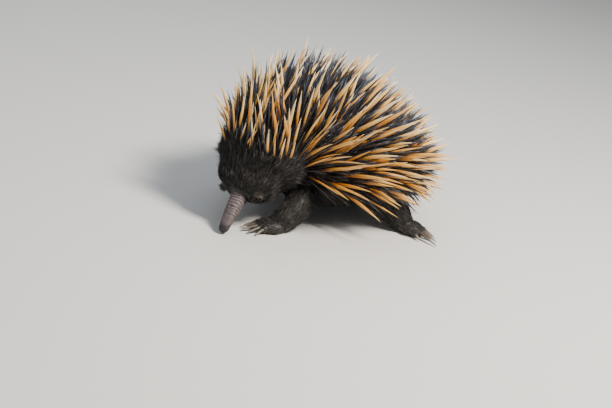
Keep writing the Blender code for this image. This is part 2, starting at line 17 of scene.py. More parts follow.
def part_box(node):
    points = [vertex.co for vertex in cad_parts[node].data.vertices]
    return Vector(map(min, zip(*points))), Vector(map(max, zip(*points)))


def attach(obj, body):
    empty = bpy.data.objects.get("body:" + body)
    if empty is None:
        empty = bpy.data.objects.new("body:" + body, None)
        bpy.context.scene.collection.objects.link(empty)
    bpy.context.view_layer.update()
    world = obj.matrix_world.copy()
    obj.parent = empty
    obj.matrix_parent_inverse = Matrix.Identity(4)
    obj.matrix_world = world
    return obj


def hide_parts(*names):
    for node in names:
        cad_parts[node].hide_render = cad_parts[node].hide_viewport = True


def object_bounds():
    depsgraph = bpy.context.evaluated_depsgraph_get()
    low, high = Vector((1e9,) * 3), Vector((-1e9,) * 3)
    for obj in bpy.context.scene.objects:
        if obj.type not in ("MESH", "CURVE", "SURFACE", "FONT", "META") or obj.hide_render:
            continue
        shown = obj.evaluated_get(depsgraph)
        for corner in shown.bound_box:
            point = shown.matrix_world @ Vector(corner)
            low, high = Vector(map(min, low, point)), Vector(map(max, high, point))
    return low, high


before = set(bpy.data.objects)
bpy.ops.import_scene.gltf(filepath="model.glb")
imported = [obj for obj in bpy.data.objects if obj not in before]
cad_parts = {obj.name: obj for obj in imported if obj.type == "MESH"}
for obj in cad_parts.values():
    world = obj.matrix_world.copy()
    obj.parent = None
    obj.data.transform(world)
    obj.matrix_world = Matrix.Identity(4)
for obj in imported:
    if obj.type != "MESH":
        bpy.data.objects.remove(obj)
cad_low, cad_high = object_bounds()
print("the solids measure", [round(high - low, 4) for low, high in zip(cad_low, cad_high)])

# %% [markdown]
# ## The body line
# The whole animal hangs on one line from the beak's tip to the tail's tip. At each distance along
# it a section says how far the body bows down, turns left, spreads and rises. Easing between rows
# instead of joining them with straight lines keeps the flank round, and because everything else
# asks this one line where the surface is, hair and spines can't float off it.

# %% Sizes of the body
NECK_S = 0.115
NECK_CENTRE = np.array((0.012, -0.101, 0.086))
LINE_STEP = 0.001
BODY_LENGTH = 0.354
SECTION_POWER = 2.2
# distance, nose-down pitch, turn to the left, half width, rise above the line, drop below it
SECTIONS = (
    (0.000, 50, 32, 0.0034, 0.0030, 0.0028),
    (0.003, 50, 32, 0.0055, 0.0048, 0.0045),
    (0.012, 50, 32, 0.0066, 0.0059, 0.0055),
    (0.026, 50, 32, 0.0081, 0.0072, 0.0067),
    (0.036, 50, 32, 0.0087, 0.0078, 0.0073),
    (0.046, 50, 32, 0.0094, 0.0086, 0.0080),
    (0.048, 50, 32, 0.0158, 0.0122, 0.0146),
    (0.051, 50, 32, 0.0230, 0.0155, 0.0208),
    (0.055, 50, 31, 0.0284, 0.0182, 0.0258),
    (0.062, 50, 31, 0.0332, 0.0216, 0.0302),
    (0.072, 49, 30, 0.0368, 0.0258, 0.0328),
    (0.088, 44, 28, 0.0422, 0.0314, 0.0348),
    (0.105, 35, 25, 0.0470, 0.0370, 0.0375),
    (0.130, 10, 18, 0.0560, 0.0470, 0.0490),
    (0.160, -4, 10, 0.0695, 0.0560, 0.0635),
    (0.195, -8, 3, 0.0790, 0.0610, 0.0695),
    (0.230, -11, 0, 0.0830, 0.0560, 0.0655),
    (0.262, -15, 0, 0.0800, 0.0460, 0.0570),
    (0.290, -20, 0, 0.0660, 0.0350, 0.0420),
    (0.310, -26, 0, 0.0490, 0.0260, 0.0310),
    (0.326, -32, 0, 0.0310, 0.0190, 0.0210),
    (0.342, -34, 0, 0.0170, 0.0130, 0.0130),
    (0.354, -34, 0, 0.0060, 0.0050, 0.0050),
)


# %% Tables and directions
def eased(table, column, at):
    """One column of a table of rows, eased from row to row with no overshoot."""
    rows = np.array(table, float)
    x, y = rows[:, 0], rows[:, column]
    step = np.diff(x)
    rise = np.diff(y) / step
    slope = np.zeros(len(x))
    same_way = rise[:-1] * rise[1:] > 0
    total = np.where(same_way, rise[:-1] + rise[1:], 1)
    slope[1:-1] = np.where(same_way, 2 * rise[:-1] * rise[1:] / total, 0)
    slope[0], slope[-1] = rise[0], rise[-1]
    at = np.clip(np.asarray(at, float), x[0], x[-1])
    k = np.clip(np.searchsorted(x, at, side="right") - 1, 0, len(x) - 2)
    t = (at - x[k]) / step[k]
    return (
        y[k] * (2 * t**3 - 3 * t**2 + 1)
        + y[k + 1] * (3 * t**2 - 2 * t**3)
        + slope[k] * step[k] * (t**3 - 2 * t**2 + t)
        + slope[k + 1] * step[k] * (t**3 - t**2)
    )


def sin_of(degrees):
    return np.sin(np.radians(degrees))


def cos_of(degrees):
    return np.cos(np.radians(degrees))


def unit(vectors):
    smallest = 1e-12
    return vectors / np.maximum(np.linalg.norm(vectors, axis=-1, keepdims=True), smallest)


def across_surface(way, normal):
    """A way laid flat on the surface with that normal."""
    return unit(way - normal * np.sum(way * normal, axis=-1, keepdims=True))


def signed_power(value, power):
    return np.sign(value) * np.abs(value) ** power


def directions(at):
    """Forward, left and up along the body line, one row for each distance."""
    pitch, turn = np.radians(eased(SECTIONS, 1, at)), np.radians(eased(SECTIONS, 2, at))
    level = np.cos(pitch)
    forward = np.stack((np.sin(turn) * level, -np.cos(turn) * level, -np.sin(pitch)), axis=-1)
    left = np.stack((np.cos(turn), np.sin(turn), np.zeros_like(turn)), axis=-1)
    return forward, left, np.cross(forward, left)


# %% The line and the surface round it
# the steps along and round the body that a normal is measured over
PROBE_STEP = 0.002
PROBE_ANGLE = 2


def body_line():
    """The body's centres at every LINE_STEP, walked both ways from the neck."""
    steps = np.arange(round(BODY_LENGTH / LINE_STEP))
    walked = np.cumsum(directions((steps + 0.5) * LINE_STEP)[0] * LINE_STEP, axis=0)
    line = np.concatenate((np.zeros((1, 3)), -walked))
    return line - line[round(NECK_S / LINE_STEP)] + NECK_CENTRE


CENTRES = body_line()
LINE_PLACES = np.arange(len(CENTRES)) * LINE_STEP


def centre_at(at):
    return np.stack([np.interp(at, LINE_PLACES, CENTRES[:, k]) for k in range(3)], axis=-1)


def body_point(at, angle, lift=0.0):
    """Points on the body, lift outside it, at distances along it and angles round it from its left."""
    at, angle = np.broadcast_arrays(np.asarray(at, float), np.asarray(angle, float))
    _, left, up = directions(at)
    half, rise, drop = (eased(SECTIONS, column, at) for column in (3, 4, 5))
    across = signed_power(cos_of(angle), 2 / SECTION_POWER)
    over = signed_power(sin_of(angle), 2 / SECTION_POWER)
    tall = np.where(over > 0, rise, drop)
    sideways = left * (across * (half + lift))[..., None]
    return centre_at(at) + sideways + up * (over * (tall + lift))[..., None]


def body_frame(at, angle):
    """The body's outward normals and backward tangents there."""
    back = body_point(at + PROBE_STEP, angle) - body_point(at - PROBE_STEP, angle)
    round_it = body_point(at, angle + PROBE_ANGLE) - body_point(at, angle - PROBE_ANGLE)
    normal = unit(np.cross(back, round_it))
    out = body_point(at, angle) - centre_at(at)
    normal = np.where(np.sum(normal * out, axis=-1, keepdims=True) < 0, -normal, normal)
    return normal, across_surface(back, normal)


print("the body line has", len(CENTRES), "centres")

# %% [markdown]
# ## Setting the line on the frame
# The solids were moved at the end so that they stand over the origin. The left eye is a ball whose
# middle is known in both places, so the distance between the two is the shift of everything.

# %% Shift the line onto the frame
EYE_S = 0.0503
EYE_ANGLE = -3
EYE_RADIUS = 0.0042
EYE_SINK = 0.0020


def both_sides(angle):
    return angle, 180 - angle


def eye_centre(angle):
    return body_point(EYE_S, angle) - body_frame(EYE_S, angle)[0] * EYE_SINK


eye_low, eye_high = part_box("eye_left")
SHIFT = (np.array(eye_low) + np.array(eye_high)) / 2 - eye_centre(EYE_ANGLE)
SHIFT[2] = 0
CENTRES += SHIFT
print("the body line moved by", SHIFT.round(5))

# %% [markdown]
# ## Skin
# A real skin has no seams, so the skin is one mesh: rings of the body line bridged into a tube,
# with legs, toes, lids and ears fused to it. Sculpting would follow the photo as well, but
# bridged rings keep every size named. It lies a little inside the solids, by the depth of the
# short fur that grows out of it, except on the bare beak.

# %% Helpers for meshes
ROUGH_BALL, BALL, SMOOTH_BALL = (12, 8), (20, 12), (32, 20)


def linked(name, mesh):
    obj = bpy.data.objects.new(name, mesh)
    bpy.context.scene.collection.objects.link(obj)
    return obj


def finished(name, bm, material):
    """An object from a bmesh, with its normals outwards."""
    bmesh.ops.recalc_face_normals(bm, faces=bm.faces)
    mesh = bpy.data.meshes.new(name)
    bm.to_mesh(mesh)
    bm.free()
    mesh.materials.append(material)
    mesh.shade_smooth()
    return linked(name, mesh)


def close_holes(bm):
    bmesh.ops.holes_fill(bm, edges=[edge for edge in bm.edges if edge.is_boundary], sides=0)


def bridged(rings):
    """A closed bmesh through rings of points, all of one count."""
    bm = bmesh.new()
    before = None
    for ring in rings:
        verts = bmesh.ops.create_circle(bm, segments=len(ring), radius=1)["verts"]
        edges = list(dict.fromkeys(edge for vert in verts for edge in vert.link_edges))
        for vert, place in zip(verts, ring):
            vert.co = place
        if before:
            bmesh.ops.bridge_loops(bm, edges=before + edges)
        before = edges
    close_holes(bm)
    return bm


def moved(bm, size, turn, place):
    """Stretches all of a bmesh, turns it and takes it to its place."""
    bmesh.ops.scale(bm, vec=size, verts=bm.verts)
    bmesh.ops.rotate(bm, matrix=turn, verts=bm.verts)
    bmesh.ops.translate(bm, vec=place, verts=bm.verts)


def ball(name, place, turn, size, material, detail=BALL):
    """An ellipsoid with half sizes along its own turned axes."""
    bm = bmesh.new()
    bmesh.ops.create_uvsphere(bm, u_segments=detail[0], v_segments=detail[1], radius=1)
    moved(bm, size, turn, place)
    return finished(name, bm, material)


def combine(obj, pieces, operation):
    """Applies one Boolean of all the pieces to obj, and removes them."""
    group = bpy.data.collections.new("pieces")
    bpy.context.scene.collection.children.link(group)
    for piece in pieces:
        bpy.context.scene.collection.objects.unlink(piece)
        group.objects.link(piece)
    modifier = obj.modifiers.new("join", "BOOLEAN")
    modifier.operation = operation
    modifier.operand_type = "COLLECTION"
    modifier.collection = group
    modifier.solver = "EXACT"
    graph = bpy.context.evaluated_depsgraph_get()
    mesh = bpy.data.meshes.new_from_object(obj.evaluated_get(graph))
    obj.modifiers.clear()
    obj.data = mesh
    for piece in pieces:
        bpy.data.objects.remove(piece)
    bpy.data.collections.remove(group)


# %% Helpers for turns
def axes(*columns):
    """A turn from its three axes."""
    return Matrix([list(map(float, column)) for column in columns]).transposed()


def surface_turn(at, angle):
    """Axes on the body: backwards, outwards, and across towards the top."""
    normal, back = body_frame(at, angle)
    return axes(back, normal, np.cross(back, normal))


def round_angles(sides):
    """Angles in radians, evenly round a ring."""
    return [2 * math.pi * n / sides for n in range(sides)]


def level_way(heading):
    """A level direction, at a heading in radians from straight ahead."""
    return Vector((math.sin(heading), -math.cos(heading), 0))


# %% [markdown]
# ## Finishes of skin, eye and horn
# Each finish is made of nodes, so that it works at any size. The skin changes along the animal:
# grey, wrinkled and bare on the beak, nearly black under the fur, partly its own colour and partly
# painted shade of the fur over it. Four numbers stored on its points carry that: how bare it is,
# how far along the beak it lies, how high its wrinkle stands, and how worn the fur is round the eyes
# and on the soles.

# %% Node helpers
class Finish:
    """A material, with short words for its nodes. Values are sockets, numbers or colours."""

    def __init__(self, name):
        self.material = bpy.data.materials.new(name)
        self.material.use_nodes = True
        self.nodes = self.material.node_tree.nodes
        self.links = self.material.node_tree.links

    def give(self, socket, value):
        if isinstance(value, bpy.types.NodeSocket):
            self.links.new(value, socket)
        elif socket.type == "RGBA":
            socket.default_value = (*value, 1)
        else:
            socket.default_value = value

    def node(self, kind, output, inputs, **settings):
        """The named output of a new node with these settings and inputs."""
        node = self.nodes.new("ShaderNode" + kind)
        for name, value in settings.items():
            setattr(node, name, value)
        for name, value in inputs.items():
            self.give(node.inputs[name], value)
        return node.outputs[output]

    def stored(self, *names):
        return [self.node("Attribute", "Fac", {}, attribute_name=name) for name in names]

    def place(self):
        return self.node("TexCoord", "Object", {})

    def vector(self, *values):
        return self.node("CombineXYZ", "Vector", dict(enumerate(values)))

    def sums(self, operation, *values):
        return self.node("Math", "Value", dict(enumerate(values)), operation=operation)

    def raised(self, base, noise, size):
        """The base with this much of the noise added."""
        return self.sums("MULTIPLY_ADD", noise, size, base)

    def swung(self, base, noise, size):
        """The base with this much of the noise added, up and down about its middle."""
        return self.raised(base, self.sums("SUBTRACT", noise, 0.5), size)

    def blended(self, share, first, second):
        """The first colour with a share of the second mixed in."""
        return self.node("Mix", "Result", {"Factor": share, "A": first, "B": second}, data_type="RGBA")

    def noise(self, place, scale, detail, roughness=0.55):
        inputs = {"Vector": place, "Scale": scale, "Detail": detail, "Roughness": roughness}
        return self.node("TexNoise", "Fac", inputs)

    def bump(self, height, distance, strength=1.0):
        inputs = {"Height": height, "Distance": distance, "Strength": strength}
        return self.node("Bump", "Normal", inputs)

    def ramp(self, value, stops):
        node = self.nodes.new("ShaderNodeValToRGB")
        self.links.new(value, node.inputs["Fac"])
        elements = node.color_ramp.elements
        while len(elements) < len(stops):
            elements.new(0.5)
        for element, (place, colour) in zip(elements, stops):
            element.position = place
            element.color = (*colour, 1)
        return node.outputs["Color"]

    def on_shader(self, inputs):
        """The material, once its shader has these inputs."""
        for name, value in inputs.items():
            self.give(self.nodes["Principled BSDF"].inputs[name], value)
        return self.material


# %% Skin finish
BEAK_GREY = (0.046, 0.033, 0.034)
# the palest and the darkest beak colours also serve as the painted highlight on the wrinkles' ridges and the
# painted shade between them
BEAK_PALE_AND_RIDGE_HIGHLIGHT = (0.190, 0.142, 0.152)
BEAK_DARK_AND_GROOVE_SHADE = (0.012, 0.009, 0.008)
BEAK_TIP = (0.012, 0.011, 0.014)
SKIN_DARK_WITH_FUR_SHADE = (0.006, 0.005, 0.0045)
SKIN_BROWN_WITH_FUR_SHADE = (0.013, 0.010, 0.008)
WORN_DARK = (0.014, 0.010, 0.008)
WORN_BROWN = (0.050, 0.040, 0.029)
WHITE, BLACK = (1, 1, 1), (0, 0, 0)
MOTTLING = 0.40


def make_skin_finish():
    finish = Finish("echidna skin")
    bare, along, worn, wave = finish.stored("bare", "along", "worn", "wrinkle")
    place = finish.place()
    fine = finish.noise(place, scale=1600, detail=3)
    patches = finish.noise(place, scale=260, detail=4, roughness=0.6)
    # the stored wave of the wrinkles paints shade low between them and a highlight on their ridges, mottling
    # does the rest
    ridges = finish.swung(wave, fine, 1.1)
    relief_shade_and_highlight = finish.ramp(ridges, ((0.12, BEAK_DARK_AND_GROOVE_SHADE), (0.48, BEAK_GREY), (0.98, BEAK_PALE_AND_RIDGE_HIGHLIGHT)))
    mottled = finish.ramp(patches, ((0.34, BEAK_DARK_AND_GROOVE_SHADE), (0.50, BEAK_PALE_AND_RIDGE_HIGHLIGHT), (0.66, BEAK_GREY)))
    beak = finish.blended(MOTTLING, relief_shade_and_highlight, mottled)
    tip = finish.ramp(finish.raised(along, patches, 0.25), ((0.20, WHITE), (0.36, BLACK)))
    beak = finish.blended(tip, beak, BEAK_TIP)
    # the skin under the fur: partly its own dark colour and partly painted shade of the fur over it
    coat = finish.ramp(patches, ((0.35, SKIN_DARK_WITH_FUR_SHADE), (0.7, SKIN_BROWN_WITH_FUR_SHADE)))
    coat = finish.blended(worn, coat, finish.ramp(fine, ((0.3, WORN_DARK), (0.7, WORN_BROWN))))
    return finish.on_shader({
        "Base Color": finish.blended(bare, coat, beak),
        "Roughness": finish.raised(0.42, fine, 0.25),
        "Normal": finish.bump(finish.sums("ADD", fine, patches), distance=0.00030, strength=0.8),
        "Specular IOR Level": 0.45,
    })


skin_finish = make_skin_finish()

# %% Eye finish
# by how far a point faces out of the socket: the dark rim, the brown iris and the pupil
EYE_STOPS = ((0.60, (0.010, 0.007, 0.005)), (0.86, (0.040, 0.022, 0.012)), (0.90, (0.002, 0.002, 0.002)))


def make_eye_finish():
    finish = Finish("echidna eye")
    (out,) = finish.stored("outward")
    streaks = finish.noise(finish.place(), scale=1400, detail=2)
    return finish.on_shader({
        "Base Color": finish.ramp(finish.raised(out, streaks, 0.08), EYE_STOPS),
        "Roughness": 0.08,
        "Specular IOR Level": 0.22,
        "Coat Weight": 0.15,
        "Coat Roughness": 0.03,
    })


eye_finish = make_eye_finish()

# %% Claw finish
CLAW_STOPS = ((0.15, (0.020, 0.016, 0.013)), (0.75, (0.085, 0.068, 0.052)), (1.0, (0.20, 0.165, 0.125)))


def make_claw_finish():
    finish = Finish("echidna claw")
    along, angle = finish.stored("along", "angle")
    # the noise runs much faster round the claw than along it, so it makes streaks
    streaks = finish.noise(finish.vector(along, finish.sums("MULTIPLY", angle, 14)), scale=2.5, detail=3)
    return finish.on_shader({
        "Base Color": finish.ramp(finish.raised(along, streaks, 0.4), CLAW_STOPS),
        "Roughness": finish.raised(0.28, streaks, 0.25),
        "Normal": finish.bump(streaks, distance=0.00025),
    })


claw_finish = make_claw_finish()
print("skin, eye and claw finishes are ready")

# %% [markdown]
# ## Body, beak and face of the skin
# The beak's wrinkles are real rings, deeper near the fur. The mouth is a short slit under the tip
# and the nostrils are two pits on top of it, both cut out, because a painted slit has no shadow.
# Lids are rings of skin spun round each eye.

# %% Rings of the body
FUR_LINE = 0.046
SKIN_INSET = ((0.044, 0.0), (0.054, 0.0012), (0.110, 0.0014), (0.354, 0.0008))
SKIN_SIDES = 48
WRINKLE_DEPTH = 0.00034
WRINKLE_LENGTH = 0.0034
WRINKLES_FROM = 0.010
WRINKLES_FULL = 0.030
WRINKLES_FADE = FUR_LINE - 0.001
WRINKLES_END = FUR_LINE + 0.002
# the wrinkles wander: by how much, in how many waves round the beak, and how fast along it
WRINKLE_WANDERS = ((0.8, 2, 400), (0.5, 5, 700))
TIP_RINGS = (0.0, 0.0006, 0.0015, 0.0025)
# first, past the last and step of the rings on the beak and on the head
BEAK_RINGS = (0.0035, 0.0520, 0.00075)
HEAD_RINGS = (0.0525, 0.112, 0.0022)
TRUNK_START = 0.114
TRUNK_RINGS = 66


def lined(table, at):
    """The second column of a table, joined from row to row with straight lines."""
    return np.interp(at, *np.array(table).T)


def fade(value, start, full):
    """A share that is 0 at start, 1 at full and straight between them."""
    return np.clip((value - start) / (full - start), 0, 1)


def beak_wrinkle(at, angle):
    """How far the beak's surface stands out there, from -1 in a groove to 1 on a ridge."""
    turn = np.radians(angle)
    wander = sum(size * np.sin(turn * waves + at * pace) for size, waves, pace in WRINKLE_WANDERS)
    wave = np.sin(2 * math.pi * at / WRINKLE_LENGTH + wander)
    return wave * fade(at, WRINKLES_FROM, WRINKLES_FULL) * fade(at, WRINKLES_END, WRINKLES_FADE)


def skin_ring(at):
    angles = 360 * (np.arange(SKIN_SIDES) + 0.5) / SKIN_SIDES
    lift = WRINKLE_DEPTH * beak_wrinkle(at, angles) - lined(SKIN_INSET, at)
    return body_point(np.full(SKIN_SIDES, at), angles, lift)


trunk_rings = np.linspace(TRUNK_START, BODY_LENGTH, TRUNK_RINGS)
ring_places = np.concatenate((TIP_RINGS, np.arange(*BEAK_RINGS), np.arange(*HEAD_RINGS), trunk_rings))
skin = finished("skin", bridged([skin_ring(at) for at in ring_places]), skin_finish)
print("the body has", len(ring_places), "rings of", SKIN_SIDES)

# %% Lids and ears
LID_RING = 0.0033
LID_THICKNESS = 0.0010
LID_STRETCH = Vector((1.25, 0.95, 1.9))
LID_HEIGHT = 0.0026
LID_TILT = 18
LID_SIDES, LID_STEPS = 8, 24
EAR_S = 0.088
EAR_ANGLE = -4
EAR_SIZE = Vector((0.0034, 0.0029, 0.0080))
EAR_HOLLOW = 0.72
EAR_AHEAD = 0.0012
EAR_OUT = 0.75


def lid(angle):
    """A ring of skin round the eye, longer along the head than it is tall, open a little upwards."""
    normal, back = body_frame(EYE_S, angle)
    tilt = math.radians(LID_TILT)
    normal = unit(normal * math.cos(tilt) + directions(EYE_S)[2] * math.sin(tilt))
    back = across_surface(back, normal)
    bm = bmesh.new()
    profile = bmesh.ops.create_circle(bm, segments=LID_SIDES, radius=LID_THICKNESS)["verts"]
    bmesh.ops.rotate(bm, matrix=Matrix.Rotation(math.pi / 2, 3, "X"), verts=profile)
    bmesh.ops.translate(bm, vec=(LID_RING, 0, 0), verts=profile)
    bmesh.ops.spin(bm, geom=bm.verts[:] + bm.edges[:], axis=(0, 0, 1), cent=(0, 0, 0), steps=LID_STEPS,
                   angle=2 * math.pi, use_merge=True)
    turn = axes(back, np.cross(normal, back), normal)
    moved(bm, LID_STRETCH, turn, eye_centre(angle) + normal * LID_HEIGHT)
    return finished("lid", bm, skin_finish)


def ear(angle):
    """A small upright cup of skin, open outwards and forwards."""
    place, turn = Vector(body_point(EAR_S, angle)), surface_turn(EAR_S, angle)
    cup = ball("ear", place, turn, EAR_SIZE, skin_finish)
    mouth = place + turn @ Vector((-EAR_AHEAD, EAR_SIZE.y * EAR_OUT, 0))
    combine(cup, [ball("hollow", mouth, turn, EAR_SIZE * EAR_HOLLOW, skin_finish)], "DIFFERENCE")
    return cup


joined_pieces = [lid(angle) for angle in both_sides(EYE_ANGLE)]
joined_pieces += [ear(angle) for angle in both_sides(EAR_ANGLE)]
print("made", len(joined_pieces), "lids and ears")

# %% [markdown]
# ## Legs
# An echidna digs, so its legs are short, thick and set wide, with spade-like claws in front. The
# hind feet point outwards and their second claw is long, for combing between the spines. Each leg
# is a tube bridged along its bend, with a flattened ball for the foot and a small ball for each
# toe. A knife through everything below the floor leaves the flat sole that it stands on.

# %% Sizes of the legs
FORE_LIMB = (
    ((0.030, -0.058, 0.050), 0.0190),
    ((0.046, -0.064, 0.034), 0.0185),
    ((0.057, -0.075, 0.024), 0.0165),
    ((0.060, -0.086, 0.014), 0.0145),
    ((0.060, -0.091, 0.007), 0.0125),
)
HIND_LIMB = (
    ((0.038, 0.044, 0.052), 0.0260),
    ((0.056, 0.046, 0.034), 0.0230),
    ((0.068, 0.052, 0.023), 0.0185),
    ((0.074, 0.058, 0.013), 0.0150),
    ((0.077, 0.062, 0.007), 0.0130),
)
LIMB_SIDES, LIMB_RINGS = 20, 15
LIMB_INSET = 0.0010
FOOT_HALF = Vector((0.0165, 0.0190, 0.0095))
FOOT_CENTRE_Z = 0.0068
FOOT_AHEAD = 0.35
FOOT_BALL = (24, 14)
TOE_HALF = Vector((0.0042, 0.0062, 0.0046))
TOE_BACK = 0.0035
TOE_UNDER = 0.0015
# fan from the foot's heading, and length, of each claw
FORE_CLAWS = ((-34, 0.013), (-17, 0.018), (0, 0.020), (17, 0.018), (34, 0.013))
HIND_CLAWS = ((-36, 0.010), (-18, 0.029), (0, 0.021), (18, 0.016), (36, 0.012))
CLAWS_AHEAD = 0.92
CLAW_FAN = 0.7
CLAW_ROOT_Z = 0.0078
# side of the body, limb, shift of the foot along X and Y, heading from straight ahead, claws
LEGS = (
    (1, FORE_LIMB, (-0.008, -0.008), -6, FORE_CLAWS),
    (-1, FORE_LIMB, (-0.004, 0.040), 4, FORE_CLAWS),
    (1, HIND_LIMB, (0.000, 0.004), 112, HIND_CLAWS),
    (-1, HIND_LIMB, (0.000, -0.010), 105, HIND_CLAWS),
)


def limb_rows(side, limb, foot_shift):
    """Rows of share, place and radius down one leg, in the frame's place."""
    rows = []
    for k, (place, radius) in enumerate(limb):
        share = k / (len(limb) - 1)
        x = (place[0] + foot_shift[0] * share) * side + SHIFT[0]
        rows.append((share, x, place[1] + foot_shift[1] * share + SHIFT[1], place[2], radius))
    return rows


# %% Make the legs
limb_lines, foot_ways, claw_roots = [], [], []


def limb_tube(rows):
    """Rings down one leg."""
    shares = np.linspace(0, 1, LIMB_RINGS)
    line = np.stack([eased(rows, column, shares) for column in (1, 2, 3)], axis=-1)
    radii = eased(rows, 4, shares) - LIMB_INSET
    limb_lines.append((line, radii))
    rings = []
    for k, (place, radius) in enumerate(zip(line, radii)):
        way = Vector(line[min(k + 1, LIMB_RINGS - 1)] - line[max(k - 1, 0)])
        turn = way.to_track_quat("Z", "Y")
        rings.append([Vector(place) + turn @ Vector((math.cos(a), math.sin(a), 0)) * radius
                      for a in round_angles(LIMB_SIDES)])
    return rings


def leg_pieces(side, limb, foot_shift, heading, claws):
    """The tube of one leg, its foot and its toes."""
    rows = limb_rows(side, limb, foot_shift)
    pieces = [finished("limb", bridged(limb_tube(rows)), skin_finish)]
    facing = math.radians(heading) * side
    ahead = level_way(facing)
    sole = Vector((rows[-1][1], rows[-1][2], 0)) + ahead * FOOT_HALF.y * FOOT_AHEAD
    half = FOOT_HALF - Vector((LIMB_INSET,) * 3)
    turn = Matrix.Rotation(facing, 3, "Z")
    pieces.append(ball("foot", sole + Vector((0, 0, FOOT_CENTRE_Z)), turn, half, skin_finish, FOOT_BALL))
    foot_ways.append(ahead)
    for fan, length in claws:
        fan = math.radians(fan) * side
        root = sole + level_way(facing + fan) * FOOT_HALF.y * CLAWS_AHEAD
        toe_turn = Matrix.Rotation(facing + fan * CLAW_FAN, 3, "Z")
        toe = root - toe_turn @ Vector((0, -TOE_BACK, 0)) + Vector((0, 0, CLAW_ROOT_Z - TOE_UNDER))
        pieces.append(ball("toe", toe, toe_turn, TOE_HALF, skin_finish, ROUGH_BALL))
        claw_roots.append((root, facing + fan * CLAW_FAN, length))
    return pieces


for leg in LEGS:
    joined_pieces += leg_pieces(*leg)
combine(skin, joined_pieces, "UNION")
print("the skin with its legs has", len(skin.data.polygons), "faces")

# %% [markdown]
# ## Cutting the mouth, nostrils and sockets
# One difference takes out everything hollow at once. The knife at the floor comes last.

# %% Cut the skin
NOSTRIL_S = 0.0045
NOSTRIL_ANGLE = 58
NOSTRIL_SIZE = Vector((0.0006, 0.0014, 0.0008))
MOUTH_SIZE = Vector((0.020, 0.011, 0.0005))
MOUTH_BACK = 0.35
MOUTH_UNDER = 0.0022
SOCKET_SIZE = Vector((EYE_RADIUS + 0.0001,) * 3)
SOCKET_BALL = (28, 18)

beak_forward, beak_left, beak_up = directions(0.0)
beak_turn = axes(beak_left, -beak_forward, beak_up)
nostrils = [Vector(body_point(NOSTRIL_S, angle)) for angle in both_sides(NOSTRIL_ANGLE)]
cuts = [ball("nostril", place, beak_turn, NOSTRIL_SIZE, skin_finish, ROUGH_BALL) for place in nostrils]
slit = bmesh.new()
bmesh.ops.create_cube(slit, size=1)
mouth_place = centre_at(0) - beak_forward * MOUTH_SIZE.y * MOUTH_BACK - beak_up * MOUTH_UNDER
moved(slit, MOUTH_SIZE, beak_turn, mouth_place)
cuts.append(finished("mouth", slit, skin_finish))
for angle in both_sides(EYE_ANGLE):
    place, turn = Vector(eye_centre(angle)), surface_turn(EYE_S, angle)
    cuts.append(ball("socket", place, turn, SOCKET_SIZE, skin_finish, SOCKET_BALL))
combine(skin, cuts, "DIFFERENCE")

# %% Cut the soles
bm = bmesh.new()
bm.from_mesh(skin.data)
everything = bm.verts[:] + bm.edges[:] + bm.faces[:]
bmesh.ops.bisect_plane(bm, geom=everything, plane_co=(0, 0, 0), plane_no=(0, 0, -1), clear_outer=True)
close_holes(bm)
bm.to_mesh(skin.data)
bm.free()
skin.data.shade_smooth()
print("cut", len(cuts), "hollows and the soles")

# %% [markdown]
# ## Numbers stored on the skin
# For each point the nearest centre of the body line gives how far along the animal it lies. A
# point that stands clear of the body's own section belongs to a leg. Hair uses the same answers
# later to know its length and its lie, and so does the unwrap that places it in a texture.

# %% Where a point lies on the animal
BLOCK = 4000
WALKS, WALK_SHARE = 3, 0.7
CHEEK_AHEAD = 0.009


def where(points):
    """Distance along the body, angle round it, and how far out from its surface, for each point."""
    at = np.empty(len(points))
    for first in range(0, len(points), BLOCK):
        gaps = np.linalg.norm(points[first:first + BLOCK, None] - CENTRES[None], axis=2)
        at[first:first + BLOCK] = np.argmin(gaps, axis=1) * LINE_STEP
    for _ in range(WALKS):
        ahead = np.sum((points - centre_at(at)) * directions(at)[0], axis=1)
        at = np.clip(at - ahead * WALK_SHARE, 0, BODY_LENGTH)
    _, left, up = directions(at)
    offset = points - centre_at(at)
    x, y = np.sum(offset * left, axis=1), np.sum(offset * up, axis=1)
    half = eased(SECTIONS, 3, at)
    tall = np.where(y > 0, eased(SECTIONS, 4, at), eased(SECTIONS, 5, at))
    x, y = x / half, y / tall
    reach = (np.abs(x) ** SECTION_POWER + np.abs(y) ** SECTION_POWER) ** (1 / SECTION_POWER)
    angle = np.degrees(np.arctan2(signed_power(y, SECTION_POWER / 2), signed_power(x, SECTION_POWER / 2)))
    return at, angle, (reach - 1) * np.minimum(half, tall)


def fur_line(angle):
    """Where the fur starts: at FUR_LINE on top of the beak, and further down it at the sides and below."""
    return FUR_LINE - CHEEK_AHEAD * (1 - sin_of(angle)) / 2


def points_of(obj):
    places = np.empty(len(obj.data.vertices) * 3)
    obj.data.vertices.foreach_get("co", places)
    return places.reshape(-1, 3)


def from_eyes(points):
    """The distance of each point from the nearer eye's middle."""
    middles = [eye_centre(angle) for angle in both_sides(EYE_ANGLE)]
    return np.min([np.linalg.norm(points - middle, axis=1) for middle in middles], axis=0)


def store(obj, name, values):
    layer = obj.data.attributes.new(name, "FLOAT", "POINT")
    layer.data.foreach_set("value", np.asarray(values, np.float32))


# %% Store the numbers
CLEAR_OF_BODY = 0.003
# where each wear starts and where it is full: by height at the soles, and from the eyes' middles
SOLE_WEAR = (0.013, 0.005)
EYE_WEAR = (0.0105, 0.0065)
BARE_EDGE = 0.0015

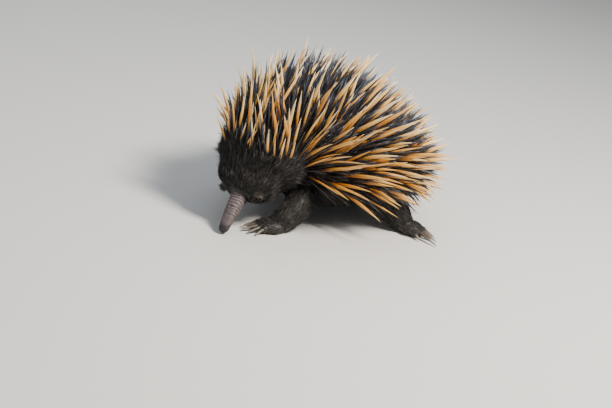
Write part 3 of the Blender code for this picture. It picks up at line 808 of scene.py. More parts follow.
skin_points = points_of(skin)
skin_at, skin_angle, skin_out = where(skin_points)
eye_gap = from_eyes(skin_points)
on_body = skin_out < CLEAR_OF_BODY
past_fur_line = skin_at - fur_line(skin_angle)
worn_sole = ~on_body * fade(skin_points[:, 2], *SOLE_WEAR)
store(skin, "along", skin_at / FUR_LINE)
store(skin, "wrinkle", 0.5 + 0.5 * beak_wrinkle(skin_at, skin_angle))
store(skin, "bare", on_body * fade(past_fur_line, BARE_EDGE, -BARE_EDGE))
store(skin, "worn", np.maximum(fade(eye_gap, *EYE_WEAR), worn_sole))
print("skin points on the bare beak:", int((skin_at < FUR_LINE).sum()))

# %% [markdown]
# ## Eyes and claws
# The eyes are tiny, dark and wet. They stay separate balls, so that the lids can frame them. The
# claws are separate too, because horn and skin meet in a sharp line.

# %% Make the eyes
def make_eye(name, angle):
    place, turn = Vector(eye_centre(angle)), surface_turn(EYE_S, angle)
    eye = ball(name, place, turn, Vector((EYE_RADIUS,) * 3), eye_finish, SMOOTH_BALL)
    outward = (points_of(eye) - eye_centre(angle)) @ body_frame(EYE_S, angle)[0] / EYE_RADIUS
    store(eye, "outward", outward)
    return eye


eye_names = ("eyeball_left", "eyeball_right")
eyes = [make_eye(name, angle) for name, angle in zip(eye_names, both_sides(EYE_ANGLE))]
print("made", len(eyes), "eyes")

# %% Make the claws
CLAW_SIDES = 12
CLAW_SHARES = (0, 0.25, 0.45, 0.6, 0.75, 0.87, 0.95, 1)
CLAW_RADIUS = 0.0030
CLAW_TIP_RADIUS = 0.0006
CLAW_TAPER = 1.5
CLAW_ROOT_DEPTH = 0.006
CLAW_TIP_Z = 0.0020
CLAW_DROP = 1.6
CLAW_FLATTENING = 0.7


def claw_rings(root, heading, length):
    """Rings of a tapered, flattened claw that curves down to just above the floor."""
    ahead = level_way(heading)
    across = Vector((ahead.y, -ahead.x, 0))
    rings = []
    for share in CLAW_SHARES:
        along = -CLAW_ROOT_DEPTH + (length + CLAW_ROOT_DEPTH) * share
        radius = CLAW_RADIUS + (CLAW_TIP_RADIUS - CLAW_RADIUS) * share**CLAW_TAPER
        height = CLAW_ROOT_Z + (CLAW_TIP_Z - CLAW_ROOT_Z) * share**CLAW_DROP
        centre = root + ahead * along + Vector((0, 0, height))
        rings.append([])
        for a in round_angles(CLAW_SIDES):
            up = Vector((0, 0, CLAW_FLATTENING * math.sin(a) * radius))
            rings[-1].append(centre + across * math.cos(a) * radius + up)
    return rings


all_claws = bmesh.new()
for root, heading, length in claw_roots:
    one = bridged(claw_rings(root, heading, length))
    mesh = bpy.data.meshes.new("claw")
    one.to_mesh(mesh)
    one.free()
    all_claws.from_mesh(mesh)
    bpy.data.meshes.remove(mesh)
claws = finished("claws", all_claws, claw_finish)
store(claws, "along", np.tile(np.repeat(CLAW_SHARES, CLAW_SIDES), len(claw_roots)))
store(claws, "angle", np.tile(np.arange(CLAW_SIDES) / CLAW_SIDES, len(CLAW_SHARES) * len(claw_roots)))
print("made", len(claw_roots), "claws")

# %% [markdown]
# ## How the coat is laid
# One rule gives every spine and hair its direction: it leans back from the skin's own normal, and
# swings up towards the ridge of the back where it grows on the flank and shoulder. Far back on the
# rump it stands nearly straight out. The tables hold that rule, and a seeded draw varies it.

# %% The rule of the coat
# each row of a table starts with a distance along the body, or an angle above its flank for the sweeps
SPINE_LEANS = ((0.085, 72), (0.110, 63), (0.130, 51), (0.160, 46), (0.220, 38), (0.270, 28), (0.300, 16),
               (0.354, 8))
FLANK_LEAN = 18
SPINE_SWEEPS = ((-70, 5), (-40, 26), (-25, 30), (0, 31), (30, 36), (60, 28), (90, 0))
SHOULDER_SWEEPS = ((0.085, 10), (0.110, 14), (0.130, 28), (0.160, 18), (0.195, 0))
SHOULDER_LEANS = ((0.085, -14), (0.110, -6), (0.125, 7), (0.150, 15), (0.185, 0))
CLUMP_LEAN = 4
CLUMP_SWEEP = 6
CLUMP_LENGTH = 0.009
CLUMP_ANGLE = 14
# how fast each wave runs along the body and round it, and how far a phase shifts it
CLUMP_WAVES = ((1, 1, 2), (1.7, -1.3, 5))
RUMP_START = 0.262
RUMP_FULL = 0.305
SPINE_RISE = 0.20


def clump(at, angle, phase):
    """Two crossing waves over the body, from -2 to 2, that neighbouring spines share."""
    along, round_it = at / CLUMP_LENGTH, angle / CLUMP_ANGLE
    return sum(np.sin(a * along + b * round_it + shift * phase) for a, b, shift in CLUMP_WAVES)


def above_flank(angle):
    """The angle above the flank, from -90 under the belly to 90 on top, alike on both sides."""
    return np.degrees(np.arcsin(sin_of(angle)))


def coat_aims(at, angle, lean_jitter, sweep_jitter):
    """Normals, aims and tip bends of the coat at distances along the body and angles round it."""
    normal, back = body_frame(at, angle)
    up_step = PROBE_ANGLE * np.where(cos_of(angle) > 0, 1, -1)
    dorsal = across_surface(body_point(at, angle + up_step) - body_point(at, angle - up_step), normal)
    height = above_flank(angle)
    beside = np.maximum(cos_of(height), 0)
    before_rump = fade(at, RUMP_FULL, RUMP_START)
    lean = eased(SPINE_LEANS, 1, at) + FLANK_LEAN * (1 - np.abs(sin_of(angle))) * before_rump
    lean = lean + eased(SHOULDER_LEANS, 1, at) * beside
    lean = np.radians(lean + CLUMP_LEAN * clump(at, angle, 1) + lean_jitter)
    sweep = eased(SPINE_SWEEPS, 1, height) * before_rump + eased(SHOULDER_SWEEPS, 1, at) * beside
    sweep = np.radians(sweep + CLUMP_SWEEP * clump(at, angle, 2) + sweep_jitter)
    along = back * np.cos(sweep)[:, None] + dorsal * np.sin(sweep)[:, None]
    aim = normal * np.cos(lean)[:, None] + along * np.sin(lean)[:, None]
    return normal, aim, normal * (SPINE_RISE * np.sin(lean))[:, None]


# %% Spots in rows
# the angle above the flank where the coat starts, by distance along the body
LOWEST_ANGLES = ((0.082, 24), (0.090, 5), (0.098, -18), (0.110, -34), (0.130, -38), (0.160, -36),
                 (0.200, -31), (0.250, -28), (0.300, -36), (0.354, -70))
# share of the spacing at a distance along the body, and of that between one row and the next
CLOSENESS = ((0.088, 0.78), (0.150, 0.94), (0.190, 1.0))
ROW_SHARE = 0.93
GIRTH_STEPS = 91
SPOT_JITTER = 0.25
ANGLE_JITTER = 3


def row_spots(first, last, spacing, offset, draw):
    """Staggered rows of spots over the part of the body that carries spines, with some jitter."""
    found = []
    at, row = first, 0
    while at < last:
        close = spacing * float(lined(CLOSENESS, at))
        lowest = float(eased(LOWEST_ANGLES, 1, at))
        angles = np.linspace(lowest, 180 - lowest, GIRTH_STEPS)
        points = body_point(np.full(GIRTH_STEPS, at), angles)
        reach = np.concatenate(([0], np.cumsum(np.linalg.norm(np.diff(points, axis=0), axis=1))))
        count = max(2, round(reach[-1] / close))
        shift = (offset + 0.5 * (row % 2)) % 1
        for spot in np.interp((np.arange(count) + shift) * reach[-1] / count, reach, angles):
            spot_at = at + draw.uniform(-SPOT_JITTER, SPOT_JITTER) * close
            found.append((spot_at, spot + draw.uniform(-ANGLE_JITTER, ANGLE_JITTER)))
        at, row = at + close * ROW_SHARE, row + 1
    return np.array(found).T


# %% [markdown]
# ## From one blade to thousands
# A spine or hair is one small blade: a ring pushed out step by step and drawn to a point. The
# blade is copied by array arithmetic into one mesh, bent along each hair's own curve. Instances
# would be lighter, but they are lost on export, and so is particle hair. Each copy gets a tiny
# patch of texture at its root's place on the unwrapped skin, so a baked colour stays its own.

# %% The blade
def blade(sides, shares):
    """Points, corners and face sizes of a closed blade one unit long, with rings at the shares."""
    bm = bmesh.new()
    bmesh.ops.create_circle(bm, segments=sides, radius=1, cap_ends=True)
    rim = bm.edges[:]
    for low, high in zip(shares, shares[1:]):
        made = bmesh.ops.extrude_edge_only(bm, edges=rim)["geom"]
        verts = [part for part in made if isinstance(part, bmesh.types.BMVert)]
        bmesh.ops.translate(bm, vec=(0, 0, high - low), verts=verts)
        rim = [part for part in made if isinstance(part, bmesh.types.BMEdge)]
        rim = [edge for edge in rim if all(vert in verts for vert in edge.verts)]
    bmesh.ops.pointmerge(bm, verts=verts, merge_co=(0, 0, 1))
    bmesh.ops.recalc_face_normals(bm, faces=bm.faces)
    bm.verts.index_update()
    places = np.array([vert.co[:] for vert in bm.verts])
    corners = np.array([vert.index for face in bm.faces for vert in face.verts])
    sizes = np.array([len(face.verts) for face in bm.faces])
    bm.free()
    return places, corners, sizes


TIP_FULLNESS = 1.5


def widths(share, widest, root):
    """The blade's relative radius: root at its foot, full at the widest share, nothing at the tip."""
    rising = root + (1 - root) * np.sin(np.clip(share / widest, 0, 1) * math.pi / 2)
    falling = 1 - fade(share, widest, 1) ** TIP_FULLNESS
    return np.where(share < widest, rising, falling)


# %% Many blades in one mesh
PATCH = 0.003
UNWRAP_EDGE = 0.001
NEARLY_UPRIGHT = 0.8


def blade_points(points, profile, roots, aims, bends, lengths, radii, seed):
    """The points of every blade, turned at random round its own aim."""
    share = points[:, 2]
    turn = np.random.default_rng(seed).uniform(0, 2 * math.pi, len(roots))[:, None]
    helper = np.where(np.abs(aims[:, 2:3]) < NEARLY_UPRIGHT, (0, 0, 1.0), (1.0, 0, 0))
    side = unit(np.cross(aims, helper))
    other = np.cross(aims, side)
    x = points[:, 0] * np.cos(turn) - points[:, 1] * np.sin(turn)
    y = points[:, 0] * np.sin(turn) + points[:, 1] * np.cos(turn)
    thick = (radii[:, None] * widths(share, *profile))[..., None]
    places = roots[:, None] + aims[:, None] * (lengths[:, None] * share)[..., None]
    places += bends[:, None] * (lengths[:, None] * share**2)[..., None]
    return places + (side[:, None] * x[..., None] + other[:, None] * y[..., None]) * thick


def blade_unwrap(points, patches):
    """The place of every blade's points in the unwrap: a patch of its own at its root's place."""
    across = patches[:, None, 0] + PATCH * 0.5 * points[:, 0]
    up = patches[:, None, 1] + PATCH * (points[:, 2] - 0.5)
    return np.clip(np.stack((across, up), axis=-1), UNWRAP_EDGE, 1 - UNWRAP_EDGE)


def many_blades(name, shape, profile, roots, aims, bends, lengths, radii, tones, patches, material, seed):
    """One mesh of many bent copies of a blade."""
    points, corners, sizes = shape
    count, size = len(roots), len(points)
    mesh = bpy.data.meshes.new(name)
    mesh.vertices.add(count * size)
    places = blade_points(points, profile, roots, aims, bends, lengths, radii, seed)
    mesh.vertices.foreach_set("co", places.astype(np.float32).ravel())
    all_corners = (corners + size * np.arange(count)[:, None]).ravel()
    mesh.loops.add(len(all_corners))
    mesh.loops.foreach_set("vertex_index", all_corners.astype(np.int32))
    starts = np.concatenate(([0], np.cumsum(np.tile(sizes, count))[:-1]))
    mesh.polygons.add(len(starts))
    mesh.polygons.foreach_set("loop_start", starts.astype(np.int32))
    mesh.update(calc_edges=True)
    mesh.materials.append(material)
    mesh.shade_smooth()
    unwrap = mesh.uv_layers.new(name="OFBake")
    flat = blade_unwrap(points, patches).reshape(-1, 2)[all_corners]
    unwrap.data.foreach_set("uv", flat.astype(np.float32).ravel())
    obj = linked(name, mesh)
    store(obj, "along", np.tile(points[:, 2], count))
    store(obj, "tone", np.repeat(tones, size))
    store(obj, "around", np.tile(np.arctan2(points[:, 1], points[:, 0]) / math.pi, count))
    print(name, "has", count, "blades and", int((sizes - 2).sum()) * count, "triangles")
    return obj


# %% Places in the unwrap
BODY_MARGIN, BODY_WIDE, BODY_TALL = 0.01, 0.98, 0.78
LEG_MARGIN, LEG_STEP, LEG_WIDE, LEG_BOTTOM, LEG_TALL = 0.03, 0.24, 0.20, 0.82, 0.16
LEG_TURN = 45


def body_patch(at, angle):
    """A place on the unwrapped skin: angles run across it and the body runs up it."""
    across = BODY_MARGIN + BODY_WIDE * ((angle + 90) % 360) / 360
    return np.stack((across, BODY_MARGIN + BODY_TALL * at / BODY_LENGTH), axis=-1)


def leg_patch(leg, share, angle):
    """A place in the leg's own strip, above the body's part of the unwrap."""
    across = LEG_MARGIN + LEG_STEP * leg + LEG_WIDE * (angle % LEG_TURN) / LEG_TURN
    return np.stack((across, LEG_BOTTOM + LEG_TALL * share), axis=-1)


# %% [markdown]
# ## Spines
# Spines are hairs turned to horn: round, thickest a little past the middle, sharp. They are golden
# orange near the skin and pale cream at the tip, some browner than others. Between them stand
# darker, shorter ones with a cold gloss, which is what makes the pale ones read as separate. The
# cold blue of that gloss is painted into their colour as well, a painted reflection of the sky.

# %% Spine finishes
def make_horn_finish(name, stops, second_stops, roughness, streak_share, shine):
    """Horn with a colour along its length, a second one mixed in by tone, and fine lengthwise streaks."""
    finish = Finish(name)
    along, tone, around = finish.stored("along", "tone", "around")
    # the tone also picks each strand's own part of the noise, so that neighbours don't share streaks
    strand = finish.vector(finish.sums("MULTIPLY", around, 2.5), along, finish.sums("MULTIPLY", tone, 90))
    streaks = finish.noise(strand, scale=3, detail=3, roughness=0.6)
    shade = finish.swung(along, streaks, streak_share)
    return finish.on_shader({
        "Base Color": finish.blended(tone, finish.ramp(shade, stops), finish.ramp(shade, second_stops)),
        "Roughness": finish.raised(roughness, streaks, 0.2),
        "Normal": finish.bump(streaks, distance=0.00012, strength=0.6),
        "Specular IOR Level": shine,
    })


pale_stops = ((0.12, (0.012, 0.007, 0.004)), (0.24, (0.38, 0.130, 0.014)), (0.44, (0.76, 0.380, 0.062)),
              (0.70, (0.95, 0.660, 0.270)), (0.95, (0.98, 0.820, 0.560)))
orange_stops = ((0.12, (0.010, 0.006, 0.004)), (0.28, (0.22, 0.060, 0.005)), (0.55, (0.48, 0.175, 0.016)),
                (0.80, (0.70, 0.345, 0.058)), (0.97, (0.72, 0.440, 0.140)))
# the dark spines' blue, rising towards the tip, is a painted reflection of the sky
dark_sky_sheen_stops = ((0.05, (0.003, 0.003, 0.004)), (0.55, (0.007, 0.012, 0.024)), (0.95, (0.036, 0.058, 0.105)))
brown_stops = ((0.05, (0.003, 0.003, 0.002)), (0.55, (0.009, 0.007, 0.006)), (0.95, (0.040, 0.027, 0.019)))
pale_horn = make_horn_finish("pale spine horn", pale_stops, orange_stops,
                             roughness=0.40, streak_share=0.18, shine=0.35)
dark_horn = make_horn_finish("dark spine horn", dark_sky_sheen_stops, brown_stops,
                             roughness=0.36, streak_share=0.12, shine=0.6)
print("spine finishes are ready")

# %% [markdown]
# Most spines follow the rule closely. Near the crown some lie further back than their neighbours
# and cross them. On the outer side of the turned neck the coat is stretched, so it lies flatter.

# %% Sizes of the spines
SPINE_ROWS = (0.0835, 0.350)
SPINE_LENGTHS = ((0.085, 0.035), (0.098, 0.048), (0.115, 0.055), (0.150, 0.055), (0.200, 0.050),
                 (0.290, 0.042), (0.354, 0.040))
LENGTH_DRAW = (0.80, 1.06)
SPINE_ROOT_DEPTH = 0.0065
ROOT_LEAN = 0.4
SPINE_RADIUS = 0.0027
RADIUS_DRAW = (0.60, 1.12)
SPINE_THINNING = ((0.088, 0.55), (0.110, 0.72), (0.135, 0.88), (0.160, 1.0))
# the share of its length at which a spine is widest, and its width at the root
SPINE_PROFILE = (0.58, 0.35)
LEAN_JITTER, SWEEP_JITTER = 8, 9
BEND_DRAW, TIP_WANDER = (0.4, 1.9), 0.05
CROWN_ENDS = 0.185
LAID_BACK_SHARE = 0.3
LAID_BACK_LEAN = 12
OUTER_LEAN = 14
OUTER_FADE = (0.135, 0.110)
TONE_DRAW = (0.9, 1.4)
LOW_SINE = 0.5
LOW_TONE = 0.75
LOW_THINNING = 0.25
LOWEST_TIP = 0.018
BOX_SPARE = 0.0045
# where spines start to be left out behind the crown, and how fast that sets in above the flank
SPARSE_BACK = (0.115, 0.145)
SPARSE_RISE = 1.5


# %% Grow the spines
def grow_spines(name, spacing, offset, length_share, radius, left_out, shape, material, seed):
    """One piece of spines in rows, without those that would leave the solids' box or touch the floor."""
    at, angle = row_spots(*SPINE_ROWS, spacing, offset, random.Random(seed))
    number = np.random.default_rng(seed)
    count = len(at)
    laid_back = (number.random(count) < LAID_BACK_SHARE) & (at < CROWN_ENDS)
    leans = np.maximum(number.normal(0, LEAN_JITTER, count), -LEAN_JITTER) + laid_back * LAID_BACK_LEAN
    leans = leans + OUTER_LEAN * np.clip(-cos_of(angle), 0, 1) * fade(at, *OUTER_FADE)
    normal, aim, bend = coat_aims(at, angle, leans, number.normal(0, SWEEP_JITTER, count))
    lengths = eased(SPINE_LENGTHS, 1, at) * number.uniform(*LENGTH_DRAW, count) * length_share
    place = body_point(at, angle)
    root = place - (normal * (1 - ROOT_LEAN) + aim * ROOT_LEAN) * SPINE_ROOT_DEPTH
    to_tip = place + aim * lengths[:, None] - root
    reach, way = np.linalg.norm(to_tip, axis=1), unit(to_tip)
    low_down = np.clip(LOW_SINE - sin_of(angle), 0, 1)
    radii = radius * number.uniform(*RADIUS_DRAW, count) * lined(SPINE_THINNING, at)
    radii *= 1 - LOW_THINNING * low_down
    bend = bend * number.uniform(*BEND_DRAW, count)[:, None] + number.normal(0, TIP_WANDER, (count, 3))
    tones = np.clip(number.beta(*TONE_DRAW, count) + LOW_TONE * low_down, 0, 1)
    tips = root + (way + bend) * reach[:, None]
    in_box = (tips > np.array(cad_low) - BOX_SPARE) & (tips < np.array(cad_high) + BOX_SPARE)
    over_back = np.clip(sin_of(angle) * SPARSE_RISE, 0, 1) * fade(at, *SPARSE_BACK)
    dense = number.random(count) > left_out * over_back
    keep = np.all(in_box, axis=1) & dense & (tips[:, 2] > LOWEST_TIP)
    grown = (values[keep] for values in (root, way, bend, reach, radii, tones, body_patch(at, angle)))
    return many_blades(name, shape, SPINE_PROFILE, *grown, material, seed)


spine_blade = blade(8, (0, 0.12, 0.25, 0.4, 0.55, 0.7, 0.82, 0.92, 1))
thin_blade = blade(6, (0, 0.2, 0.4, 0.6, 0.8, 1))
pale_spines = grow_spines("pale_spines", spacing=0.0118, offset=0.25, length_share=1.10,
                          radius=SPINE_RADIUS, left_out=0.38, shape=spine_blade, material=pale_horn, seed=11)
dark_spines = grow_spines("dark_spines", spacing=0.0078, offset=0.55, length_share=0.84,
                          radius=SPINE_RADIUS * 0.6, left_out=0, shape=thin_blade, material=dark_horn, seed=12)

# %% [markdown]
# ## Hair
# Under and between the spines grows long coarse hair, nearly black, with a faint painted sky sheen
# towards its tips. The face, belly and legs have short hair that lies flat, brown-black, with a
# painted grey sheen towards the tips of some hairs. Hair roots are drawn at random on the skin's
# triangles, more where the coat is thicker, and the root's place on the animal decides length and
# lie.

# %% Hair finishes
# the faint blue towards the tips of the long hair is a painted sky sheen
black_sky_sheen_stops = ((0.0, (0.003, 0.0025, 0.0025)), (1.0, (0.010, 0.011, 0.016)))
rust_stops = ((0.0, (0.005, 0.003, 0.002)), (1.0, (0.050, 0.030, 0.018)))
soot_stops = ((0.0, (0.003, 0.0025, 0.002)), (1.0, (0.008, 0.0072, 0.0066)))
# the grey that some short hairs take towards their tips is a painted sheen
grey_sheen_stops = ((0.0, (0.010, 0.009, 0.009)), (1.0, (0.190, 0.172, 0.165)))
long_hair = make_horn_finish("long black hair", black_sky_sheen_stops, rust_stops,
                             roughness=0.34, streak_share=0.1, shine=0.5)
short_hair = make_horn_finish("short dark hair", soot_stops, grey_sheen_stops,
                              roughness=0.45, streak_share=0.1, shine=0.25)
print("hair finishes are ready")


# %% Draw the roots
def draw_roots(obj, density, count, seed):
    """Points on the mesh's triangles, drawn by area times density, with smooth normals there."""
    mesh = obj.data
    mesh.calc_loop_triangles()
    corners = np.empty(len(mesh.loop_triangles) * 3, np.int32)
    mesh.loop_triangles.foreach_get("vertices", corners)
    corners = corners.reshape(-1, 3)
    normals = np.empty(len(mesh.vertices) * 3)
    mesh.vertices.foreach_get("normal", normals)
    normals = normals.reshape(-1, 3)
    places = points_of(obj)
    first, second, third = (places[corners[:, k]] for k in range(3))
    area = np.linalg.norm(np.cross(second - first, third - first), axis=1) / 2
    weight = area * density[corners].mean(axis=1)
    number = np.random.default_rng(seed)
    picked = number.choice(len(weight), count, p=weight / weight.sum())
    a, b = number.random(count), number.random(count)
    over = a + b > 1
    a[over], b[over] = 1 - a[over], 1 - b[over]
    shares = np.stack((1 - a - b, a, b), axis=1)
    spots = np.einsum("nk,nkd->nd", shares, places[corners[picked]])
    return spots, unit(np.einsum("nk,nkd->nd", shares, normals[corners[picked]]))


def limb_place(points):
    """Which leg each point is nearest to, how far down it lies, and the way down the leg there."""
    count = len(points)
    best, leg, share, way = np.full(count, np.inf), np.zeros(count, int), np.zeros(count), points * 0
    for number, (line, radii) in enumerate(limb_lines):
        gaps = np.linalg.norm(points[:, None] - line[None], axis=2) - radii[None]
        nearest = np.argmin(gaps, axis=1)
        gap = gaps[np.arange(count), nearest]
        closer = gap < best
        best = np.where(closer, gap, best)
        leg = np.where(closer, number, leg)
        share = np.where(closer, nearest / (LIMB_RINGS - 1), share)
        ahead = unit(np.gradient(line, axis=0))[nearest]
        ahead = np.where((nearest > LIMB_RINGS - 3)[:, None], np.array(foot_ways[number]), ahead)
        way = np.where(closer[:, None], ahead, way)
    return leg, share, way


# %% [markdown]
# The density is a number on every skin point. The beak, the lids and the soles stay bare, and the
# belly is thin. Roots on a leg get their own strip of the unwrap, above the body's.

# %% Density over the skin
COAT_START = 0.088
COAT_AHEAD, COAT_BELOW = 0.004, 6
FACE_OVERLAP = 0.010
FURRED_EDGE = 0.0015
# where the hair starts and where it is dense: from the eyes' middles, and above the floor
EYE_CLEARING = (0.0053, 0.0068)
SOLE_CLEARING = (0.002, 0.005)

on_leg = ~on_body
low_edge = eased(LOWEST_ANGLES, 1, skin_at) - COAT_BELOW
in_coat = (skin_at > COAT_START - COAT_AHEAD) & (above_flank(skin_angle) > low_edge) & ~on_leg
near_face = (past_fur_line > 0) & (skin_at < COAT_START + FACE_OVERLAP) & ~on_leg
off_floor = fade(skin_points[:, 2], *SOLE_CLEARING)
past_edge = np.clip(past_fur_line / FURRED_EDGE, 0.5, 1)
face_density = near_face * fade(eye_gap, *EYE_CLEARING) * past_edge
coat_density = in_coat.astype(float)
under_density = (~in_coat & ~near_face & ~on_leg & (skin_at > FUR_LINE)) * off_floor
leg_density = on_leg * off_floor
print("skin points that carry face hair:", int((face_density > 0).sum()), "coat:", int(in_coat.sum()))

# %% Sizes of the hair
FLAT_LIFTS = ((0.037, 14), (0.046, 22), (0.060, 20), (0.100, 24), (0.354, 24))
HAIR_LEAN_JITTER, HAIR_SWEEP_JITTER, LIFT_JITTER = 7, 9, 6
HAIR_WANDER = 0.07
HAIR_ROOT_DEPTH = 0.0006
HAIR_PROFILE = (0.25, 0.6)
HAIR_LENGTH_DRAW, HAIR_RADIUS_DRAW = (0.6, 1.15), (0.7, 1.25)
# where hair starts to stand up with the spines, and where it does so fully
STANDING = (COAT_START - 0.010, COAT_START + 0.010)
HAIR_SAG = 0.18
DROOP, DROOP_SINE = 0.7, 0.2
EYE_TRIM, SHORTEST_TRIM = (0.0035, 0.0110), 0.25
FLOOR_ROOM, FLOOR_TRIM = 0.001, 0.3
ON_LEG_OUT = 0.0022
LEG_HAIR, LEG_TAPER, LEG_DRAW = 0.010, 0.5, (0.7, 1.1)
LEG_LIFT = 0.36
TONE_SPREAD, PALE_TONES = 0.12, (0.6, 1.0)
hair_blade = blade(3, (0, 0.35, 0.7, 1))


# %% Grow the hair
def hair_ways(at, angle, normal, follow, is_leg, down, number):
    """The ways of hair that lies back, stands up with the spines, or runs down a leg, and their sags."""
    count = len(at)
    jitter = number.normal(0, HAIR_LEAN_JITTER, count)
    _, aim, bend = coat_aims(np.maximum(at, 0.05), angle, jitter, number.normal(0, HAIR_SWEEP_JITTER, count))
    flat = across_surface(-directions(at)[0], normal)
    lift = np.radians(lined(FLAT_LIFTS, at) + number.normal(0, LIFT_JITTER, count))
    lying = flat * np.cos(lift)[:, None] + normal * np.sin(lift)[:, None]
    standing = fade(at, *STANDING)[:, None] * follow
    way = unit(lying * (1 - standing) + aim * standing)
    droop = DROOP * np.clip(DROOP_SINE - sin_of(angle), 0, 1)[:, None] * (1 - standing)
    leg_way = across_surface(down, normal) * math.cos(LEG_LIFT) + normal * math.sin(LEG_LIFT)
    way = np.where(is_leg[:, None], leg_way, way - droop * np.array((0, 0, 1.0)))
    way = unit(way + number.normal(0, HAIR_WANDER, (count, 3)))
    return way, np.where(standing > 0, bend, -normal * HAIR_SAG)


def grow_hair(name, density, count, seed, length_table, radius, follow, material, tone, pale_share):
    """One piece of hair: it lies back, follows the spines in the coat, and droops below."""
    spots, normal = draw_roots(skin, density, count, seed)
    at, angle, out = where(spots)
    leg, share, down = limb_place(spots)
    is_leg = out > ON_LEG_OUT
    number = np.random.default_rng(seed + 100)
    way, sag = hair_ways(at, angle, normal, follow, is_leg, down, number)
    lengths = lined(length_table, at) * number.uniform(*HAIR_LENGTH_DRAW, count)
    lengths *= np.maximum(fade(from_eyes(spots), *EYE_TRIM), SHORTEST_TRIM)
    leg_lengths = LEG_HAIR * (1 - LEG_TAPER * share) * number.uniform(*LEG_DRAW, count)
    lengths = np.where(is_leg, leg_lengths, lengths)
    sag = sag + number.normal(0, TIP_WANDER, (count, 3))
    room = spots[:, 2] + (way[:, 2] + sag[:, 2]) * lengths
    lengths = np.where(room < FLOOR_ROOM, lengths * FLOOR_TRIM, lengths)
    patch = np.where(is_leg[:, None], leg_patch(leg, share, angle), body_patch(at, angle))
    tones = np.clip(number.normal(tone, TONE_SPREAD, count), 0, 1)
    tones = np.where(number.random(count) < pale_share, number.uniform(*PALE_TONES, count), tones)
    radii = radius * number.uniform(*HAIR_RADIUS_DRAW, count)
    return many_blades(name, hair_blade, HAIR_PROFILE, spots - normal * HAIR_ROOT_DEPTH, way, sag, lengths,
                       radii, tones, patch, material, seed)


face_lengths = ((0.037, 0.0030), (0.046, 0.0045), (0.056, 0.0075), (0.075, 0.011), (0.100, 0.015),
                (0.118, 0.018))
guard_lengths = ((0.037, 0.0040), (0.050, 0.0075), (0.065, 0.012), (0.100, 0.018), (0.118, 0.022))
coat_lengths = ((0.088, 0.012), (0.104, 0.015), (0.125, 0.021), (0.200, 0.026), (0.300, 0.023),
                (0.354, 0.020))
under_lengths = ((0.046, 0.005), (0.080, 0.010), (0.120, 0.014), (0.354, 0.016))
# lengths along the body, radius, how far it follows the spines, finish, usual tone, share of pale ones
face_row = (face_lengths, 0.00022, 0.5, short_hair, 0.08, 0.04)
guard_row = (guard_lengths, 0.00030, 0.5, short_hair, 0.10, 0.45)
coat_row = (coat_lengths, 0.00034, 1.0, long_hair, 0.15, 0.12)
under_row = (under_lengths, 0.00028, 0.0, short_hair, 0.08, 0.04)
leg_row = (under_lengths, 0.00028, 0.0, short_hair, 0.08, 0.24)
hair = [grow_hair(f"face_hair_{k + 1}", face_density, 12000, 21 + k, *face_row) for k in range(2)]
hair.append(grow_hair("face_guard_hair", face_density, 4200, 25, *guard_row))
hair += [grow_hair(f"coat_hair_{k + 1}", coat_density, 9500, 31 + k, *coat_row) for k in range(4)]
hair.append(grow_hair("under_hair", under_density, 7000, 41, *under_row))
hair.append(grow_hair("leg_hair", leg_density, 12000, 42, *leg_row))

# %% [markdown]
# ## Hand over the pieces
# Every piece rides on the one body. The skin, the coat and the eyes stand for the solids, which
# then aren't shown.

# %% Ride and replace
pieces = [skin, claws, pale_spines, dark_spines] + eyes + hair
for piece in pieces:
    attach(piece, "root")
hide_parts("beak", "head", "ear_left", "ear_right",
            "foreleg_left", "foreleg_right", "hindleg_left", "hindleg_right")
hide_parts("neck", "torso", "tail")
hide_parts("eye_left")
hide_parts("eye_right")
print("handed over", len(pieces), "pieces")

# %% [markdown]
# ## Floor, light and camera
# A pale floor and three soft lamps, as in a studio. The camera stands where the photo was taken
# from: before the animal's left shoulder, a little above it, and tilted a little.

# %% Floor and light
FLOOR_SIZE = 6
LAMP_AIM = Vector((0, 0, 0.06))

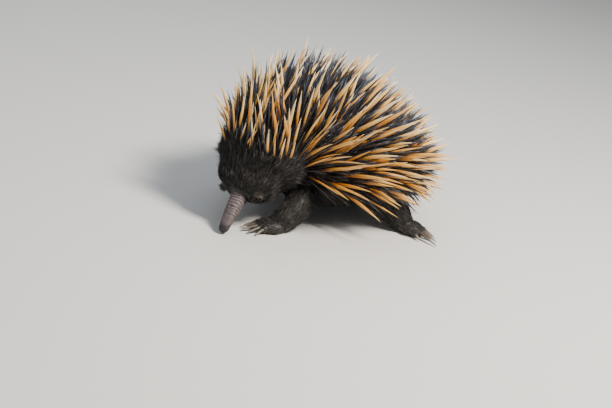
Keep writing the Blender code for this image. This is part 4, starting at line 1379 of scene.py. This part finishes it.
floor_finish = Finish("studio floor").on_shader({"Base Color": (0.66, 0.65, 0.63), "Roughness": 0.8})
bm = bmesh.new()
bmesh.ops.create_grid(bm, x_segments=1, y_segments=1, size=FLOOR_SIZE)
finished("floor", bm, floor_finish)


def lamp(name, place, size, power, colour):
    light = bpy.data.lights.new(name, "AREA")
    light.size = size
    light.energy = power
    light.color = colour
    obj = linked(name, light)
    obj.location = place
    obj.rotation_euler = (LAMP_AIM - Vector(place)).to_track_quat("-Z", "Y").to_euler()


lamp("key", (0.9, 0.3, 1.3), size=0.40, power=54, colour=(1.0, 0.94, 0.84))
lamp("fill", (0.5, -1.6, 0.8), size=1.2, power=6, colour=(0.95, 0.97, 1.0))
lamp("sky", (-0.8, 0.4, 1.6), size=1.4, power=14, colour=(0.80, 0.90, 1.0))
world = bpy.data.worlds.new("studio")
world.use_nodes = True
background = world.node_tree.nodes["Background"].inputs
background["Color"].default_value = (0.90, 0.94, 1.0, 1)
background["Strength"].default_value = 0.26
bpy.context.scene.world = world
print("set", len(bpy.data.lights), "lamps")

# %% Camera
AZIMUTH, ELEVATION, ROLL, DISTANCE = 52.0, 17.0, 11.0, 1.70
LOOK = Vector((0, 0, 0.075)) + Vector(SHIFT)
PICTURE = (612, 408)
LOOK_PIXEL = (333, 150)
LENS, SENSOR = 85, 36

elevation = math.radians(ELEVATION)
away = level_way(math.radians(AZIMUTH)) * math.cos(elevation) + Vector((0, 0, math.sin(elevation)))
camera = bpy.data.cameras.new("camera")
camera.lens = LENS
camera.sensor_width = SENSOR
camera.sensor_fit = "HORIZONTAL"
camera.shift_x = -(LOOK_PIXEL[0] - PICTURE[0] / 2) / PICTURE[0]
camera.shift_y = (LOOK_PIXEL[1] - PICTURE[1] / 2) / PICTURE[0]
camera_object = linked("camera", camera)
turn = (-away).to_track_quat("-Z", "Y").to_matrix() @ Matrix.Rotation(math.radians(ROLL), 3, "Z")
camera_object.matrix_world = Matrix.Translation(away * DISTANCE + LOOK) @ turn.to_4x4()
bpy.context.scene.camera = camera_object
